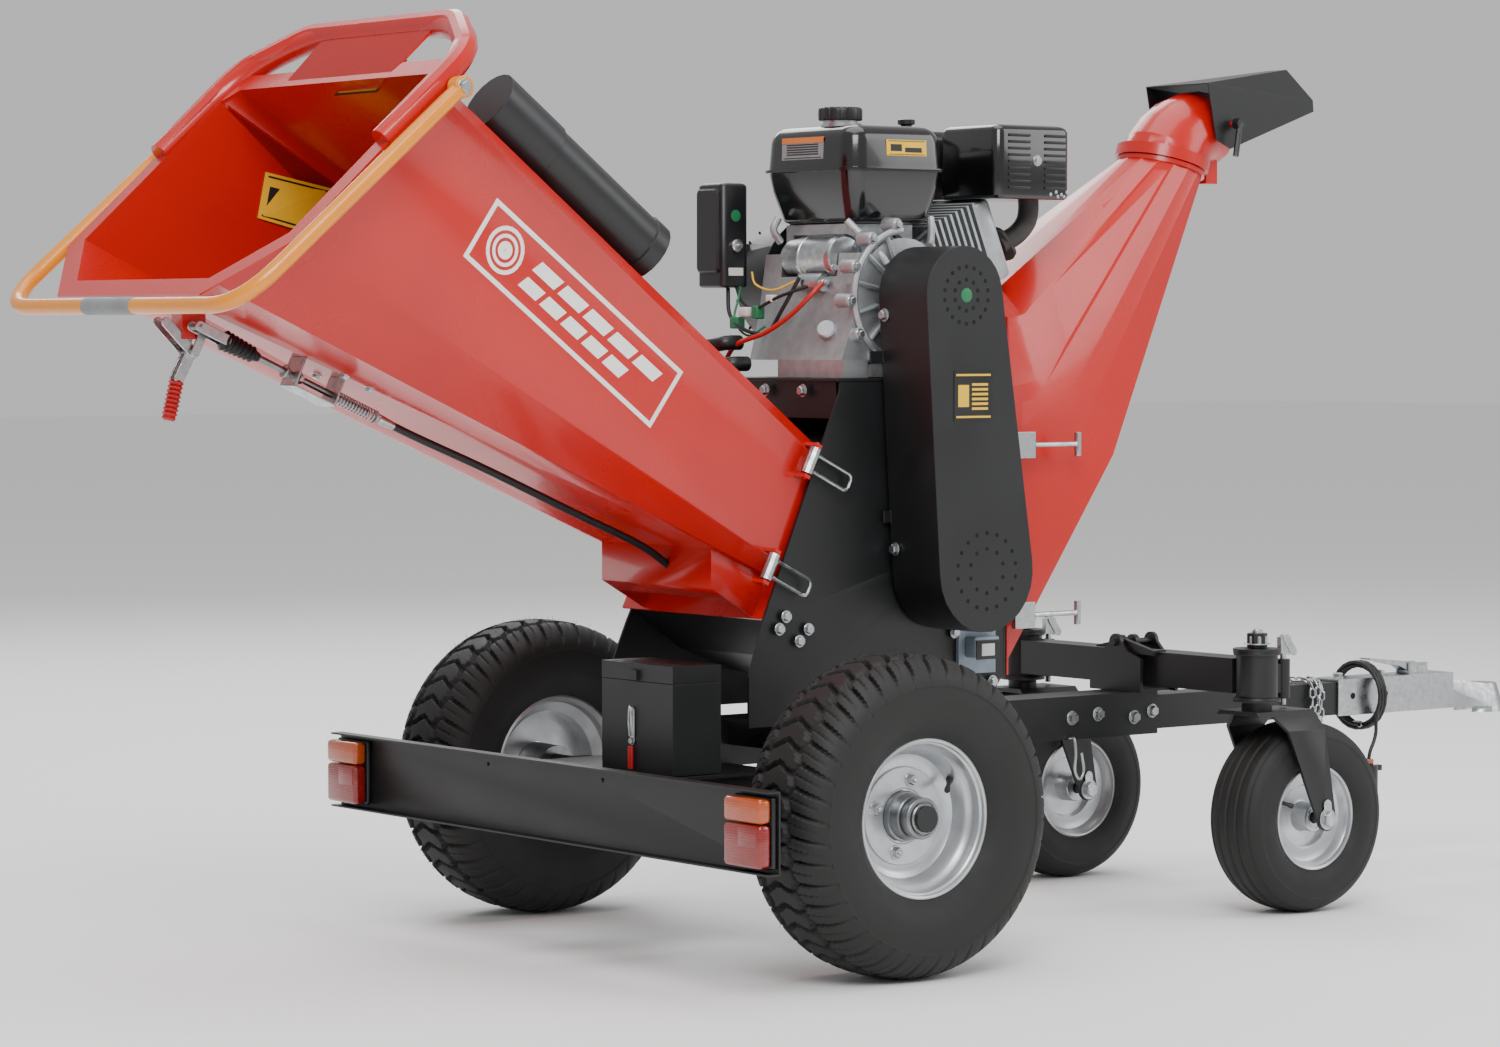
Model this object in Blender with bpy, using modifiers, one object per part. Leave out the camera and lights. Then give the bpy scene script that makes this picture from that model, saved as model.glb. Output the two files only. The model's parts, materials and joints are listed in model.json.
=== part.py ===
"""Towable wood chipper: engine, belt drive, drum rotor, feed hopper and discharge chute.

Units are metres, +Z is up, +X is the towing direction and -Y is the belt side. The frame's
origin is on the ground at the middle of the machine's length, so every piece hangs under one
empty that stands on the ground below the rear axle, and shared sizes are measured from there.
"""
import math

import bmesh
import bpy
from mathutils import Matrix, Vector

# ---------------------------------------------------------------- overall
REAR_OVERHANG = 1.105      # rear axle to the back of the stop bar
FRONT_OVERHANG = 1.875     # rear axle to the nose of the coupler
GAP = 0.0006               # running or resting gap between two pieces
SHEET = 0.003              # hopper and chute sheet
PLATE = 0.005              # side plates and flanges

# rear wheels
REAR_TYRE_R = 0.2525
REAR_TYRE_W = 0.184
REAR_RIM_R = 0.121
REAR_TRACK = 0.984         # between the two tyre middles
SPINDLE_R = 0.0145

# front casters
CASTER_TYRE_R = 0.1653
CASTER_TYRE_W = 0.122
CASTER_RIM_R = 0.087
CASTER_TRACK = 0.612
CASTER_SLEEVE_X = 0.948
CASTER_TRAIL = 0.094       # sleeve axis to wheel axis
SLEEVE_R = 0.036
SLEEVE_Z = (0.367, 0.455)
STEM_R = 0.0125
FORK_PLATE_Z = 0.3460
FORK_SHEET = 0.007
FORK_LEG_Y = 0.074         # sleeve axis to the middle of a fork leg
ARM_TUBE = 0.060
ARM_TOP_Z = 0.441
FOLD_PIN_Z = 0.4535
FOLD_PIN_R = 0.006

# chassis
BEAM_W = 0.080
BEAM_Z = (0.2925, 0.368)
BEAM_FRONT_X = 0.963
BAR_TUBE = 0.060           # drawbar square tube
BAR_FRONT_X = 1.470
BAR_Z = (0.2995, 0.3595)
SIDE_Y = 0.190             # outer faces of the side plates
SIDE_BASE_Z = 0.369
DECK_TOP_Z = 0.9255
LIGHT_BAR_X = -0.345
LIGHT_BAR_LIP = 0.020
LIGHT_BAR_HALF = 0.610
LIGHT_BAR_Z = (0.194, 0.320)

# battery box
BOX_X = (-0.200, -0.104)
BOX_Y = (-0.175, 0.018)
BOX_Z = (0.2985, 0.4725)
BOX_LID_Z = 0.445

# hopper, given on its slanted mouth plane and throat plane
MOUTH_FOOT = (-1.0745, 1.054)
MOUTH_TILT = math.radians(42.2)
MOUTH_LIP = 0.034
MOUTH_HALF = 0.338
MOUTH_FLOOR_HALF = 0.213
MOUTH_SIDE_LOW = 0.116
MOUTH_SIDE_HIGH = 0.475
MOUTH_TOP = 0.522
THROAT_FOOT = (-0.0205, 0.5388)
THROAT_TILT = math.radians(63.5)
THROAT_HALF = 0.183
HINGE_Y = 0.206
THROAT_TOP = 0.306
THROAT_FLOOR = 0.075
THROAT_INNER_HALF = 0.172
BOW_R = 0.019

# stop bar
STOP_TUBE_R = 0.0125
STOP_PIVOT = (-0.7185, 1.3585)
STOP_HALF = 0.3595
STOP_FOOT = (-1.0925, 1.0390)
STOP_FOOT_HALF = 0.3560

# rotor and belt drive
ROTOR = (0.3272, 0.6120)
ROTOR_R = 0.140
ROTOR_SHAFT_R = 0.020
CHAMBER_R = 0.156
CRANK = (0.2790, 1.0600)
CRANK_R = 0.0125
BELT_Y = -0.262
BELT_W = 0.034
DRIVE_PULLEY_R = 0.050
DRIVEN_PULLEY_R = 0.076
GUARD_Y = (-0.320, -0.198)
GUARD_TOP_R = 0.080
GUARD_LOW_R = 0.099

# chute
CHUTE_X = 0.4850
CHUTE_HALF = 0.172
CHUTE_Z = (0.440, 1.020)
NECK = (1.0045, 1.2988)
NECK_R = 0.076
NECK_TILT = math.radians(15)
HOOD_PIVOT = (1.0980, 1.3680)
HOOD_HALF = 0.0835

# engine
ENGINE_BASE_Z = 0.9545
ENGINE_FACE_Y = -0.165
STARTER = (0.2050, 1.1240)
STARTER_R = 0.0375
TANK_X = (0.180, 0.388)
TANK_Y = (-0.150, 0.092)
TANK_Z = (1.180, 1.340)

PAINTS = {
    "red_paint": (0.70, 0.016, 0.008, 0.28, 0.0),
    "black_paint": (0.020, 0.020, 0.022, 0.45, 0.0),
    "yellow_paint": (0.85, 0.36, 0.015, 0.35, 0.0),
    "rim_silver": (0.62, 0.62, 0.63, 0.30, 0.9),
    "zinc": (0.60, 0.60, 0.61, 0.32, 1.0),
    "steel": (0.35, 0.35, 0.36, 0.38, 1.0),
    "aluminium": (0.52, 0.53, 0.54, 0.42, 0.9),
    "tyre_rubber": (0.018, 0.018, 0.019, 0.75, 0.0),
    "belt_rubber": (0.03, 0.03, 0.03, 0.80, 0.0),
    "black_plastic": (0.016, 0.016, 0.017, 0.30, 0.0),
    "lamp_lens": (0.42, 0.02, 0.012, 0.20, 0.0),
    "red_grip": (0.55, 0.012, 0.014, 0.40, 0.0),
    "meter_plastic": (0.18, 0.24, 0.32, 0.45, 0.0),
    "cable_jacket": (0.014, 0.014, 0.015, 0.50, 0.0),
}


# ---------------------------------------------------------------- scene helpers
def fresh_scene():
    for old in list(bpy.data.objects):
        bpy.data.objects.remove(old, do_unlink=True)
    parts = bpy.data.collections.new("Wood chipper")
    tools = bpy.data.collections.new("Cutters")
    bpy.context.scene.collection.children.link(parts)
    bpy.context.scene.collection.children.link(tools)
    origin = bpy.data.objects.new("rear_axle_ground", None)
    origin.location.x = (REAR_OVERHANG - FRONT_OVERHANG) / 2
    parts.objects.link(origin)
    bpy.context.view_layer.update()
    return parts, tools, origin


PARTS, TOOLS, ORIGIN = fresh_scene()


def paint(name):
    if name in bpy.data.materials:
        return bpy.data.materials[name]
    red, green, blue, rough, metal = PAINTS[name]
    material = bpy.data.materials.new(name)
    material.use_nodes = True
    shader = material.node_tree.nodes["Principled BSDF"]
    shader.inputs["Base Color"].default_value = (red, green, blue, 1)
    shader.inputs["Roughness"].default_value = rough
    shader.inputs["Metallic"].default_value = metal
    return material


def new_object(data, place=(0, 0, 0), turn=(0, 0, 0)):
    """A helper solid: it sits with the cutters until it is named as a part."""
    made = bpy.data.objects.new("helper", data)
    made.location = place
    made.rotation_euler = turn
    made.hide_render = True
    made.display_type = "WIRE"
    TOOLS.objects.link(made)
    return made


def part(shape, name, finish, joint=None, smooth=40):
    """Name a finished shape, paint it and hang it on the machine or on its joint."""
    TOOLS.objects.unlink(shape)
    PARTS.objects.link(shape)
    shape.name = name
    shape.hide_render = False
    shape.display_type = "TEXTURED"
    shape.data.materials.clear()
    shape.data.materials.append(paint(finish))
    if shape.type == "MESH":
        shape.data.shade_smooth()
        shape.data.set_sharp_from_angle(angle=math.radians(smooth))
    shape.parent = joint or ORIGIN
    if joint:
        shape.matrix_parent_inverse = Matrix.Translation(-Vector(joint.location))
    return shape


def pivot(name, place, parent=None):
    """An empty on a joint's axis, which the moving pieces hang from."""
    empty = bpy.data.objects.new(name, None)
    empty.location = place
    empty.empty_display_size = 0.05
    empty.parent = parent or ORIGIN
    if parent:
        empty.matrix_parent_inverse = Matrix.Translation(-Vector(parent.location))
    PARTS.objects.link(empty)
    return empty


# ---------------------------------------------------------------- shape helpers
def mesh_object(builder, place=(0, 0, 0), turn=(0, 0, 0)):
    mesh = bpy.data.meshes.new("shape")
    shape = bmesh.new()
    builder(shape)
    bmesh.ops.recalc_face_normals(shape, faces=shape.faces)
    shape.to_mesh(mesh)
    shape.free()
    return new_object(mesh, place, turn)


def block(x, y, z, bevel=0.0):
    """A box between two limits on each axis."""
    size = (x[1] - x[0], y[1] - y[0], z[1] - z[0])

    def build(shape):
        bmesh.ops.create_cube(shape, size=1)
        bmesh.ops.scale(shape, vec=size, verts=shape.verts)

    middle = [(low + high) / 2 for low, high in (x, y, z)]
    made = mesh_object(build, middle)
    if bevel:
        soften(made, bevel)
    return made


def soften(shape, width, segments=2):
    bevel = shape.modifiers.new("Bevel", "BEVEL")
    bevel.width = width
    bevel.segments = segments
    bevel.limit_method = "ANGLE"
    bevel.angle_limit = math.radians(50)


AXIS_TURN = {"x": (0, math.pi / 2, 0), "y": (-math.pi / 2, 0, 0), "z": (0, 0, 0)}


def rod(radius, low, high, axis, place, sides=20, radius_high=None):
    """A cylinder or cone along an axis, from low to high, through place on the other two axes."""
    top = radius if radius_high is None else radius_high

    def build(shape):
        bmesh.ops.create_cone(shape, cap_ends=True, segments=sides, radius1=radius,
                              radius2=top, depth=high - low)

    middle = (low + high) / 2
    spot = {"x": (middle, place[0], place[1]), "y": (place[0], middle, place[1]),
            "z": (place[0], place[1], middle)}[axis]
    return mesh_object(build, spot, AXIS_TURN[axis])


def rod_between(start, end, radius, sides=12):
    """A cylinder between two points."""
    start = Vector(start)
    run = Vector(end) - start

    def build(shape):
        bmesh.ops.create_cone(shape, cap_ends=True, segments=sides, radius1=radius,
                              radius2=radius, depth=run.length)

    made = mesh_object(build, start + run / 2)
    made.rotation_euler = run.to_track_quat("Z", "Y").to_euler()
    return made


def sheet_outline(points, thickness, middle, holes=()):
    """A flat outline in the XZ plane, extruded along Y about the middle."""
    curve = bpy.data.curves.new("outline", "CURVE")
    curve.dimensions = "2D"
    curve.fill_mode = "BOTH"
    curve.extrude = thickness / 2
    for loop in (points, *holes):
        spline = curve.splines.new("POLY")
        spline.points.add(len(loop) - 1)
        for dot, (x, z) in zip(spline.points, loop):
            dot.co = (x, z, 0, 1)
        spline.use_cyclic_u = True
    return as_mesh(new_object(curve, (0, middle, 0), (math.pi / 2, 0, 0)))


def arc(centre, radius, start, end, steps):
    """Points on an arc in the XZ plane, with angles in degrees from +X towards +Z."""
    angles = [math.radians(start + (end - start) * k / steps) for k in range(steps + 1)]
    return [(centre[0] + radius * math.cos(a), centre[1] + radius * math.sin(a)) for a in angles]


def turned(profile, place, axis="y", steps=32):
    """A closed profile of (radius, along) points turned about an axis through place."""
    mesh = bpy.data.meshes.new("profile")
    dots = [(radius, 0, along) for radius, along in profile]
    edges = [(k, (k + 1) % len(dots)) for k in range(len(dots))]
    mesh.from_pydata(dots, edges, [])
    made = new_object(mesh, place, AXIS_TURN[axis])
    screw = made.modifiers.new("Screw", "SCREW")
    screw.steps = steps
    screw.render_steps = steps
    screw.use_merge_vertices = True
    screw.merge_threshold = 0.0001
    screw.use_normal_calculate = True
    return as_mesh(made)


def bent(points, radius, sides=2):
    """A round tube through points, with closed ends."""
    curve = bpy.data.curves.new("tube", "CURVE")
    curve.dimensions = "3D"
    curve.bevel_depth = radius
    curve.bevel_resolution = sides
    curve.use_fill_caps = True
    spline = curve.splines.new("POLY")
    spline.points.add(len(points) - 1)
    for dot, place in zip(spline.points, points):
        dot.co = (*place, 1)
    return as_mesh(new_object(curve))


def rounded(corners, radius, steps=4):
    """A path through corners with each inner corner rounded to a radius."""
    corners = [Vector(c) for c in corners]
    path = [corners[0]]
    for before, here, after in zip(corners, corners[1:], corners[2:]):
        back = (before - here).normalized()
        ahead = (after - here).normalized()
        half = back.angle(ahead) / 2
        reach = radius / math.tan(half)
        middle = here + (back + ahead).normalized() * (radius / math.sin(half))
        first = (here + back * reach - middle).normalized()
        last = (here + ahead * reach - middle).normalized()
        path += [middle + first.slerp(last, k / steps) * radius for k in range(steps + 1)]
    return [tuple(p) for p in path + [corners[-1]]]


def as_mesh(shape, outward=True):
    """The evaluated shape as a plain closed mesh in the same place."""
    bpy.context.view_layer.update()
    depsgraph = bpy.context.evaluated_depsgraph_get()
    mesh = bpy.data.meshes.new_from_object(shape.evaluated_get(depsgraph))
    work = bmesh.new()
    work.from_mesh(mesh)
    bmesh.ops.remove_doubles(work, verts=work.verts, dist=0.00001)
    if outward:
        bmesh.ops.recalc_face_normals(work, faces=work.faces)
    work.to_mesh(mesh)
    work.free()
    made = new_object(mesh)
    made.matrix_world = shape.matrix_world.copy()
    bpy.data.objects.remove(shape, do_unlink=True)
    return made


def combine(shape, others, operation):
    for other in others:
        boolean = shape.modifiers.new(operation.title(), "BOOLEAN")
        boolean.operation = operation
        boolean.solver = "MANIFOLD"
        boolean.object = other
    return as_mesh(shape, outward=False)


def joined(shape, *others):
    return combine(shape, others, "UNION")


def cut(shape, *others):
    return combine(shape, others, "DIFFERENCE")


def loft(rings, closed=True):
    """A skin over rings of equally many points; open skins leave out the end faces."""
    def build(shape):
        rows = [[shape.verts.new(p) for p in ring] for ring in rings]
        for low, high in zip(rows, rows[1:]):
            for k in range(len(low)):
                nxt = (k + 1) % len(low)
                shape.faces.new((low[k], low[nxt], high[nxt], high[k]))
        if closed:
            shape.faces.new(rows[0])
            shape.faces.new(rows[-1])

    return mesh_object(build)


def walled(skin, thickness, offset):
    wall = skin.modifiers.new("Solidify", "SOLIDIFY")
    wall.thickness = thickness
    wall.offset = offset
    wall.use_even_offset = True
    return as_mesh(skin)


def on_plane(foot, tilt, y, up, out=0.0):
    """A point on a plane that stands on a line along Y and leans towards +X."""
    x = foot[0] + up * math.cos(tilt) - out * math.sin(tilt)
    z = foot[1] + up * math.sin(tilt) + out * math.cos(tilt)
    return (x, y, z)


SIDES = (("right", -1), ("left", 1))


# ---------------------------------------------------------------- chassis
def tyre_profile(radius, width, rim_radius, wall):
    """A carcass open to the rim: crowned tread, rounded shoulders and bead feet."""
    half = width / 2
    depth = radius - rim_radius
    outer = [(rim_radius + 0.002, 0.66 * half), (rim_radius + 0.25 * depth, 0.93 * half),
             (rim_radius + 0.50 * depth, half), (rim_radius + 0.77 * depth, 0.92 * half),
             (radius - 0.050 * width, 0.62 * half), (radius, 0)]
    mirror = [(r, -y) for r, y in reversed(outer[:-1])]
    inner_r = radius - 0.050 * width - wall
    inner = [(rim_radius + 0.002, -0.66 * half + wall), (inner_r, -0.62 * half),
             (inner_r, 0.62 * half), (rim_radius + 0.002, 0.66 * half - wall)]
    return outer + mirror + inner


def rim_profile(radius, width, hub_radius, hub_half, disc_y, bore):
    """A stamped rim: two flanges, a well, a disc at disc_y and a hub, as one closed loop."""
    half = width / 2
    skin = 0.004
    well = radius - 0.016
    return [(bore, -hub_half), (hub_radius, -hub_half), (hub_radius, disc_y - 0.002),
            (well - skin, disc_y - 0.002), (well - skin, -half + 0.010), (radius + 0.002, -half),
            (radius + 0.004, -half + 0.003), (well, -half + 0.018), (well, half - 0.018),
            (radius + 0.004, half - 0.003), (radius + 0.002, half), (well - skin, half - 0.010),
            (well - skin, disc_y + 0.003), (hub_radius, disc_y + 0.003),
            (hub_radius, hub_half), (bore, hub_half)]


def rear_wheels():
    for side, sign in SIDES:
        middle = (0, sign * REAR_TRACK / 2, REAR_TYRE_R)
        spin = pivot(f"rear_wheel_{side}_axis", middle)
        tyre = turned(tyre_profile(REAR_TYRE_R, REAR_TYRE_W, REAR_RIM_R, 0.010), middle, steps=36)
        part(tyre, f"rear_tyre_{side}", "tyre_rubber", spin)
        rim = rim_profile(REAR_RIM_R, 0.134, 0.040, 0.052, 0.010 * sign, SPINDLE_R + GAP)
        part(turned(rim, middle, steps=20), f"rear_rim_{side}", "rim_silver", spin)


def rear_axle():
    reach = REAR_TRACK / 2
    beam = block((-0.025, 0.025), (-0.375, 0.375), (REAR_TYRE_R - 0.025, REAR_TYRE_R + 0.025))
    spindle = rod(SPINDLE_R, -reach - 0.060, reach + 0.060, "y", (0, REAR_TYRE_R), 16)
    shoulders = [rod(0.024, min(s * 0.37, s * (reach - 0.054)), max(s * 0.37, s * (reach - 0.054)),
                     "y", (0, REAR_TYRE_R), 16) for s in (-1, 1)]
    caps = [rod(0.021, min(s * (reach + 0.0535), s * (reach + 0.072)),
                max(s * (reach + 0.0535), s * (reach + 0.072)), "y", (0, REAR_TYRE_R), 16)
            for s in (-1, 1)]
    part(joined(beam, spindle, *shoulders, *caps), "rear_axle", "black_paint")


def chassis():
    beam_x = (-0.060, BEAM_FRONT_X)
    half = BEAM_W / 2
    beam = block(beam_x, (-half, half), BEAM_Z)
    socket = block((0.600, BEAM_FRONT_X + 0.01), (-BAR_TUBE / 2 - GAP, BAR_TUBE / 2 + GAP),
                   (BAR_Z[0] - GAP, BAR_Z[1] + GAP))
    hollow = block((-0.055, 0.601), (-half + 0.005, half - 0.005),
                   (BEAM_Z[0] + 0.005, BEAM_Z[1] - 0.005))
    saddle = block((-0.0305, 0.0305), (-0.100, 0.100),
                   (REAR_TYRE_R + 0.025 + GAP, BEAM_Z[0] + 0.001))
    shelf = block((BOX_X[0] - 0.010, 0.010), (-0.190, 0.190), (BEAM_Z[0], BEAM_Z[0] + PLATE))
    cross = [block((x, x + 0.040), (-0.190, 0.190), (0.328, 0.3678)) for x in (0.010, 0.425)]
    arms = [block((-0.2935, -0.020), (y - 0.020, y + 0.020), (0.2535, 0.2935))
            for y in (-0.160, 0.160)]
    feet = [block((-0.0600, -0.0260), (y - 0.020, y + 0.020), (0.2535, 0.2935))
            for y in (-0.160, 0.160)]
    tower = block((-0.2100, 0.0100), (-0.180, 0.180), (0.2905, BEAM_Z[0] + 0.001))
    frame = joined(beam, shelf, tower, saddle, *cross, *arms, *feet)
    axle_room = block((-0.0256, 0.0256), (-0.376, 0.376), (0.2269, 0.2781))
    frame = cut(frame, hollow, socket, axle_room)
    part(frame, "chassis_frame", "black_paint")


def side_plates():
    top = DECK_TOP_Z - PLATE - GAP
    back = [(0.1260, top), (0.4300, top), (0.4300, 0.8600), (0.4740, 0.8200), (0.4740, 0.4300),
            (0.4300, SIDE_BASE_Z)]
    shield = [(-0.060, SIDE_BASE_Z), (-0.060, 0.450), (-0.0330, 0.5350), (0.1260, 0.9060)]
    set_back = [(-0.060, SIDE_BASE_Z), (-0.060, 0.450)] + [
        (throat(0, up, -GAP)[0], throat(0, up, -GAP)[2]) for up in (-0.020, THROAT_TOP + 0.014)]
    for side, sign in SIDES:
        outline = (shield if sign < 0 else set_back) + back
        plate = sheet_outline(outline, PLATE, sign * (SIDE_Y - PLATE / 2))
        bearing = rod(0.046, *sorted((sign * SIDE_Y - sign * 0.001, sign * (SIDE_Y + 0.0065))),
                      "y", ROTOR, 20)
        bore = rod(ROTOR_SHAFT_R + GAP, *sorted((sign * 0.15, sign * 0.22)), "y", ROTOR, 20)
        plate = cut(joined(plate, bearing), bore)
        if sign < 0:
            plate = cut(plate, rod(CRANK_R + 0.004, -0.22, -0.15, "y", CRANK, 16))
        part(plate, f"side_plate_{side}", "black_paint")


def engine_deck():
    top = block((0.1200, 0.4400), (-SIDE_Y, SIDE_Y), (DECK_TOP_Z - PLATE, DECK_TOP_Z))
    web = block((0.1280, 0.1330), (-0.175, 0.175), (0.8600, DECK_TOP_Z - PLATE + 0.001))
    front = block((0.4200, 0.4250), (-0.175, 0.175), (0.8840, DECK_TOP_Z - PLATE + 0.001))
    part(joined(top, web, front), "engine_deck", "black_paint")


def light_bar():
    """A folded channel whose lips point back, with a lamp between them at each end."""
    z_low, z_high = LIGHT_BAR_Z
    x = LIGHT_BAR_X
    web = x + LIGHT_BAR_LIP
    skin = 0.003
    channel = [(x, z_low), (web + skin, z_low), (web + skin, z_high), (x, z_high),
               (x, z_high - skin), (web, z_high - skin), (web, z_low + skin), (x, z_low + skin)]
    ties = [block((web + 0.001, -0.2940), (y - 0.018, y + 0.018), (0.2550, 0.2920))
            for y in (-0.160, 0.160)]
    bar = joined(sheet_outline(channel, 2 * LIGHT_BAR_HALF, 0), *ties)
    bolts = [rod(0.004, web - 0.01, web + 0.01, "x", (y, 0.300), 10) for y in (-0.160, 0.160)]
    part(cut(bar, *bolts), "light_bar", "black_paint")
    for side, sign in SIDES:
        y = sorted((sign * (LIGHT_BAR_HALF - 0.004), sign * (LIGHT_BAR_HALF - 0.098)))
        lamp = block((web - 0.033, web - GAP), y, (z_low + 0.009, z_high - 0.009), 0.006)
        part(as_mesh(lamp), f"tail_light_{side}", "lamp_lens")


def battery_box():
    wall = 0.003
    body = block(BOX_X, BOX_Y, (BOX_Z[0], BOX_LID_Z - GAP))
    room = block((BOX_X[0] + wall, BOX_X[1] - wall), (BOX_Y[0] + wall, BOX_Y[1] - wall),
                 (BOX_Z[0] + wall, BOX_LID_Z + 0.01))
    part(cut(body, room), "battery_box", "black_paint")
    cell = block((BOX_X[0] + 0.006, BOX_X[1] - 0.006), (BOX_Y[0] + 0.012, BOX_Y[1] - 0.012),
                 (BOX_Z[0] + wall + GAP, 0.418), 0.003)
    posts = [rod(0.006, 0.410, 0.430, "z", (-0.150, y), 10) for y in (-0.130, -0.030)]
    part(joined(as_mesh(cell), *posts), "battery", "black_plastic")
    hinge = pivot("battery_lid_axis", (BOX_X[1] + 0.005, (BOX_Y[0] + BOX_Y[1]) / 2, BOX_LID_Z))
    lid = block(BOX_X, BOX_Y, (BOX_LID_Z, BOX_Z[1]))
    under = block((BOX_X[0] + wall, BOX_X[1] - wall), (BOX_Y[0] + wall, BOX_Y[1] - wall),
                  (BOX_LID_Z - 0.01, BOX_Z[1] - wall))
    catch = block((BOX_X[0] - 0.006, BOX_X[0] + 0.001), (-0.085, -0.065), (BOX_LID_Z + 0.001, 0.462))
    part(joined(cut(lid, under), catch), "battery_lid", "black_paint", hinge)


def drawbar():
    half = BAR_TUBE / 2
    bar = block((0.660, BAR_FRONT_X), (-half, half), BAR_Z)
    bore = block((0.650, BAR_FRONT_X + 0.01), (-half + 0.004, half - 0.004),
                 (BAR_Z[0] + 0.004, BAR_Z[1] - 0.004))
    part(cut(bar, bore), "drawbar", "black_paint")


def coupler():
    """A channel that straps over the drawbar's end, and a domed ball socket at its nose."""
    x0, x1, x2 = 1.4180, 1.7200, FRONT_OVERHANG
    half = BAR_TUBE / 2 + GAP
    top = BAR_Z[1] + GAP
    wall = 0.004
    strap = block((x0, x1), (-half - wall, half + wall), (BAR_Z[0] - 0.002, top + wall))
    under = block((x0 - 0.01, 1.6000), (-half, half), (BAR_Z[0] - 0.02, top))
    throat = block((1.5990, x1 + 0.01), (-half + 0.006, half - 0.006), (BAR_Z[0] - 0.02, top - 0.008))
    strap = cut(strap, under, throat)
    socket_x = x2 - 0.048
    neck = loft([[(x1 - 0.090, -0.030, 0.300), (x1 - 0.090, 0.030, 0.300),
                  (x1 - 0.090, 0.026, 0.3635), (x1 - 0.090, -0.026, 0.3635)],
                 [(socket_x, -0.044, 0.2960), (socket_x, 0.044, 0.2960),
                  (socket_x, 0.030, 0.3360), (socket_x, -0.030, 0.3360)]])
    dome = rod(0.048, 0.2850, 0.3380, "z", (socket_x, 0), 24, 0.032)
    ball = rod(0.0255, 0.2700, 0.3290, "z", (socket_x, 0), 20, 0.021)
    way = block((x1 - 0.085, socket_x), (-0.021, 0.021), (0.2700, 0.3280))
    body = cut(joined(strap, neck, dome), ball, way)
    ears = [block((1.620, 1.668), (y - 0.002, y + 0.002), (0.3600, 0.3850)) for y in (-0.016, 0.016)]
    pin = rod(0.0035, -0.019, 0.019, "y", (1.644, 0.3760), 10)
    part(joined(body, *ears, pin), "coupler", "zinc")
    lever_axis = pivot("coupler_lever_axis", (1.644, 0, 0.3760))
    side = [(1.632, 0.3705), (1.632, 0.3845), (1.600, 0.3900), (1.520, 0.3980), (1.520, 0.3950),
            (1.600, 0.3800), (1.620, 0.3705)]
    lever = sheet_outline([(1.656, 0.3690), (1.656, 0.3840), *side[1:]], 0.026, 0)
    hole = rod(0.0035 + GAP, -0.03, 0.03, "y", (1.644, 0.3760), 10)
    part(cut(lever, hole), "coupler_lever", "zinc", lever_axis)


# ---------------------------------------------------------------- front casters
def caster_saddle():
    """Two cheeks on the beam that hold both folding arms on one cross pin."""
    low = BEAM_Z[1] + GAP
    x0 = CASTER_SLEEVE_X - ARM_TUBE / 2 - 0.0135
    x1 = CASTER_SLEEVE_X + ARM_TUBE / 2 + 0.0030
    cheek = 0.007
    lobe = arc((0, FOLD_PIN_Z), 0.016, 0, 180, 8)
    outline = [(-0.066, low), (0.066, low), (0.066, 0.428), (0.030, 0.440), *lobe,
               (-0.030, 0.440), (-0.066, 0.428)]
    shapes = []
    for x in (x0, x1 + cheek):
        made = sheet_outline(outline, cheek, 0)
        made.matrix_world = Matrix.Translation((x - cheek / 2, 0, 0)) @ Matrix.Rotation(
            math.pi / 2, 4, "Z") @ made.matrix_world
        shapes.append(made)
    base = block((x0 - cheek / 2, x1 + cheek / 2), (-0.055, 0.055), (low + 0.0005, low + 0.006))
    pin = rod(FOLD_PIN_R, x0 - cheek - 0.006, x1 + cheek + 0.008, "x", (0, FOLD_PIN_Z), 14)
    part(joined(shapes[0], shapes[1], base, pin), "caster_saddle", "black_paint")


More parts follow.
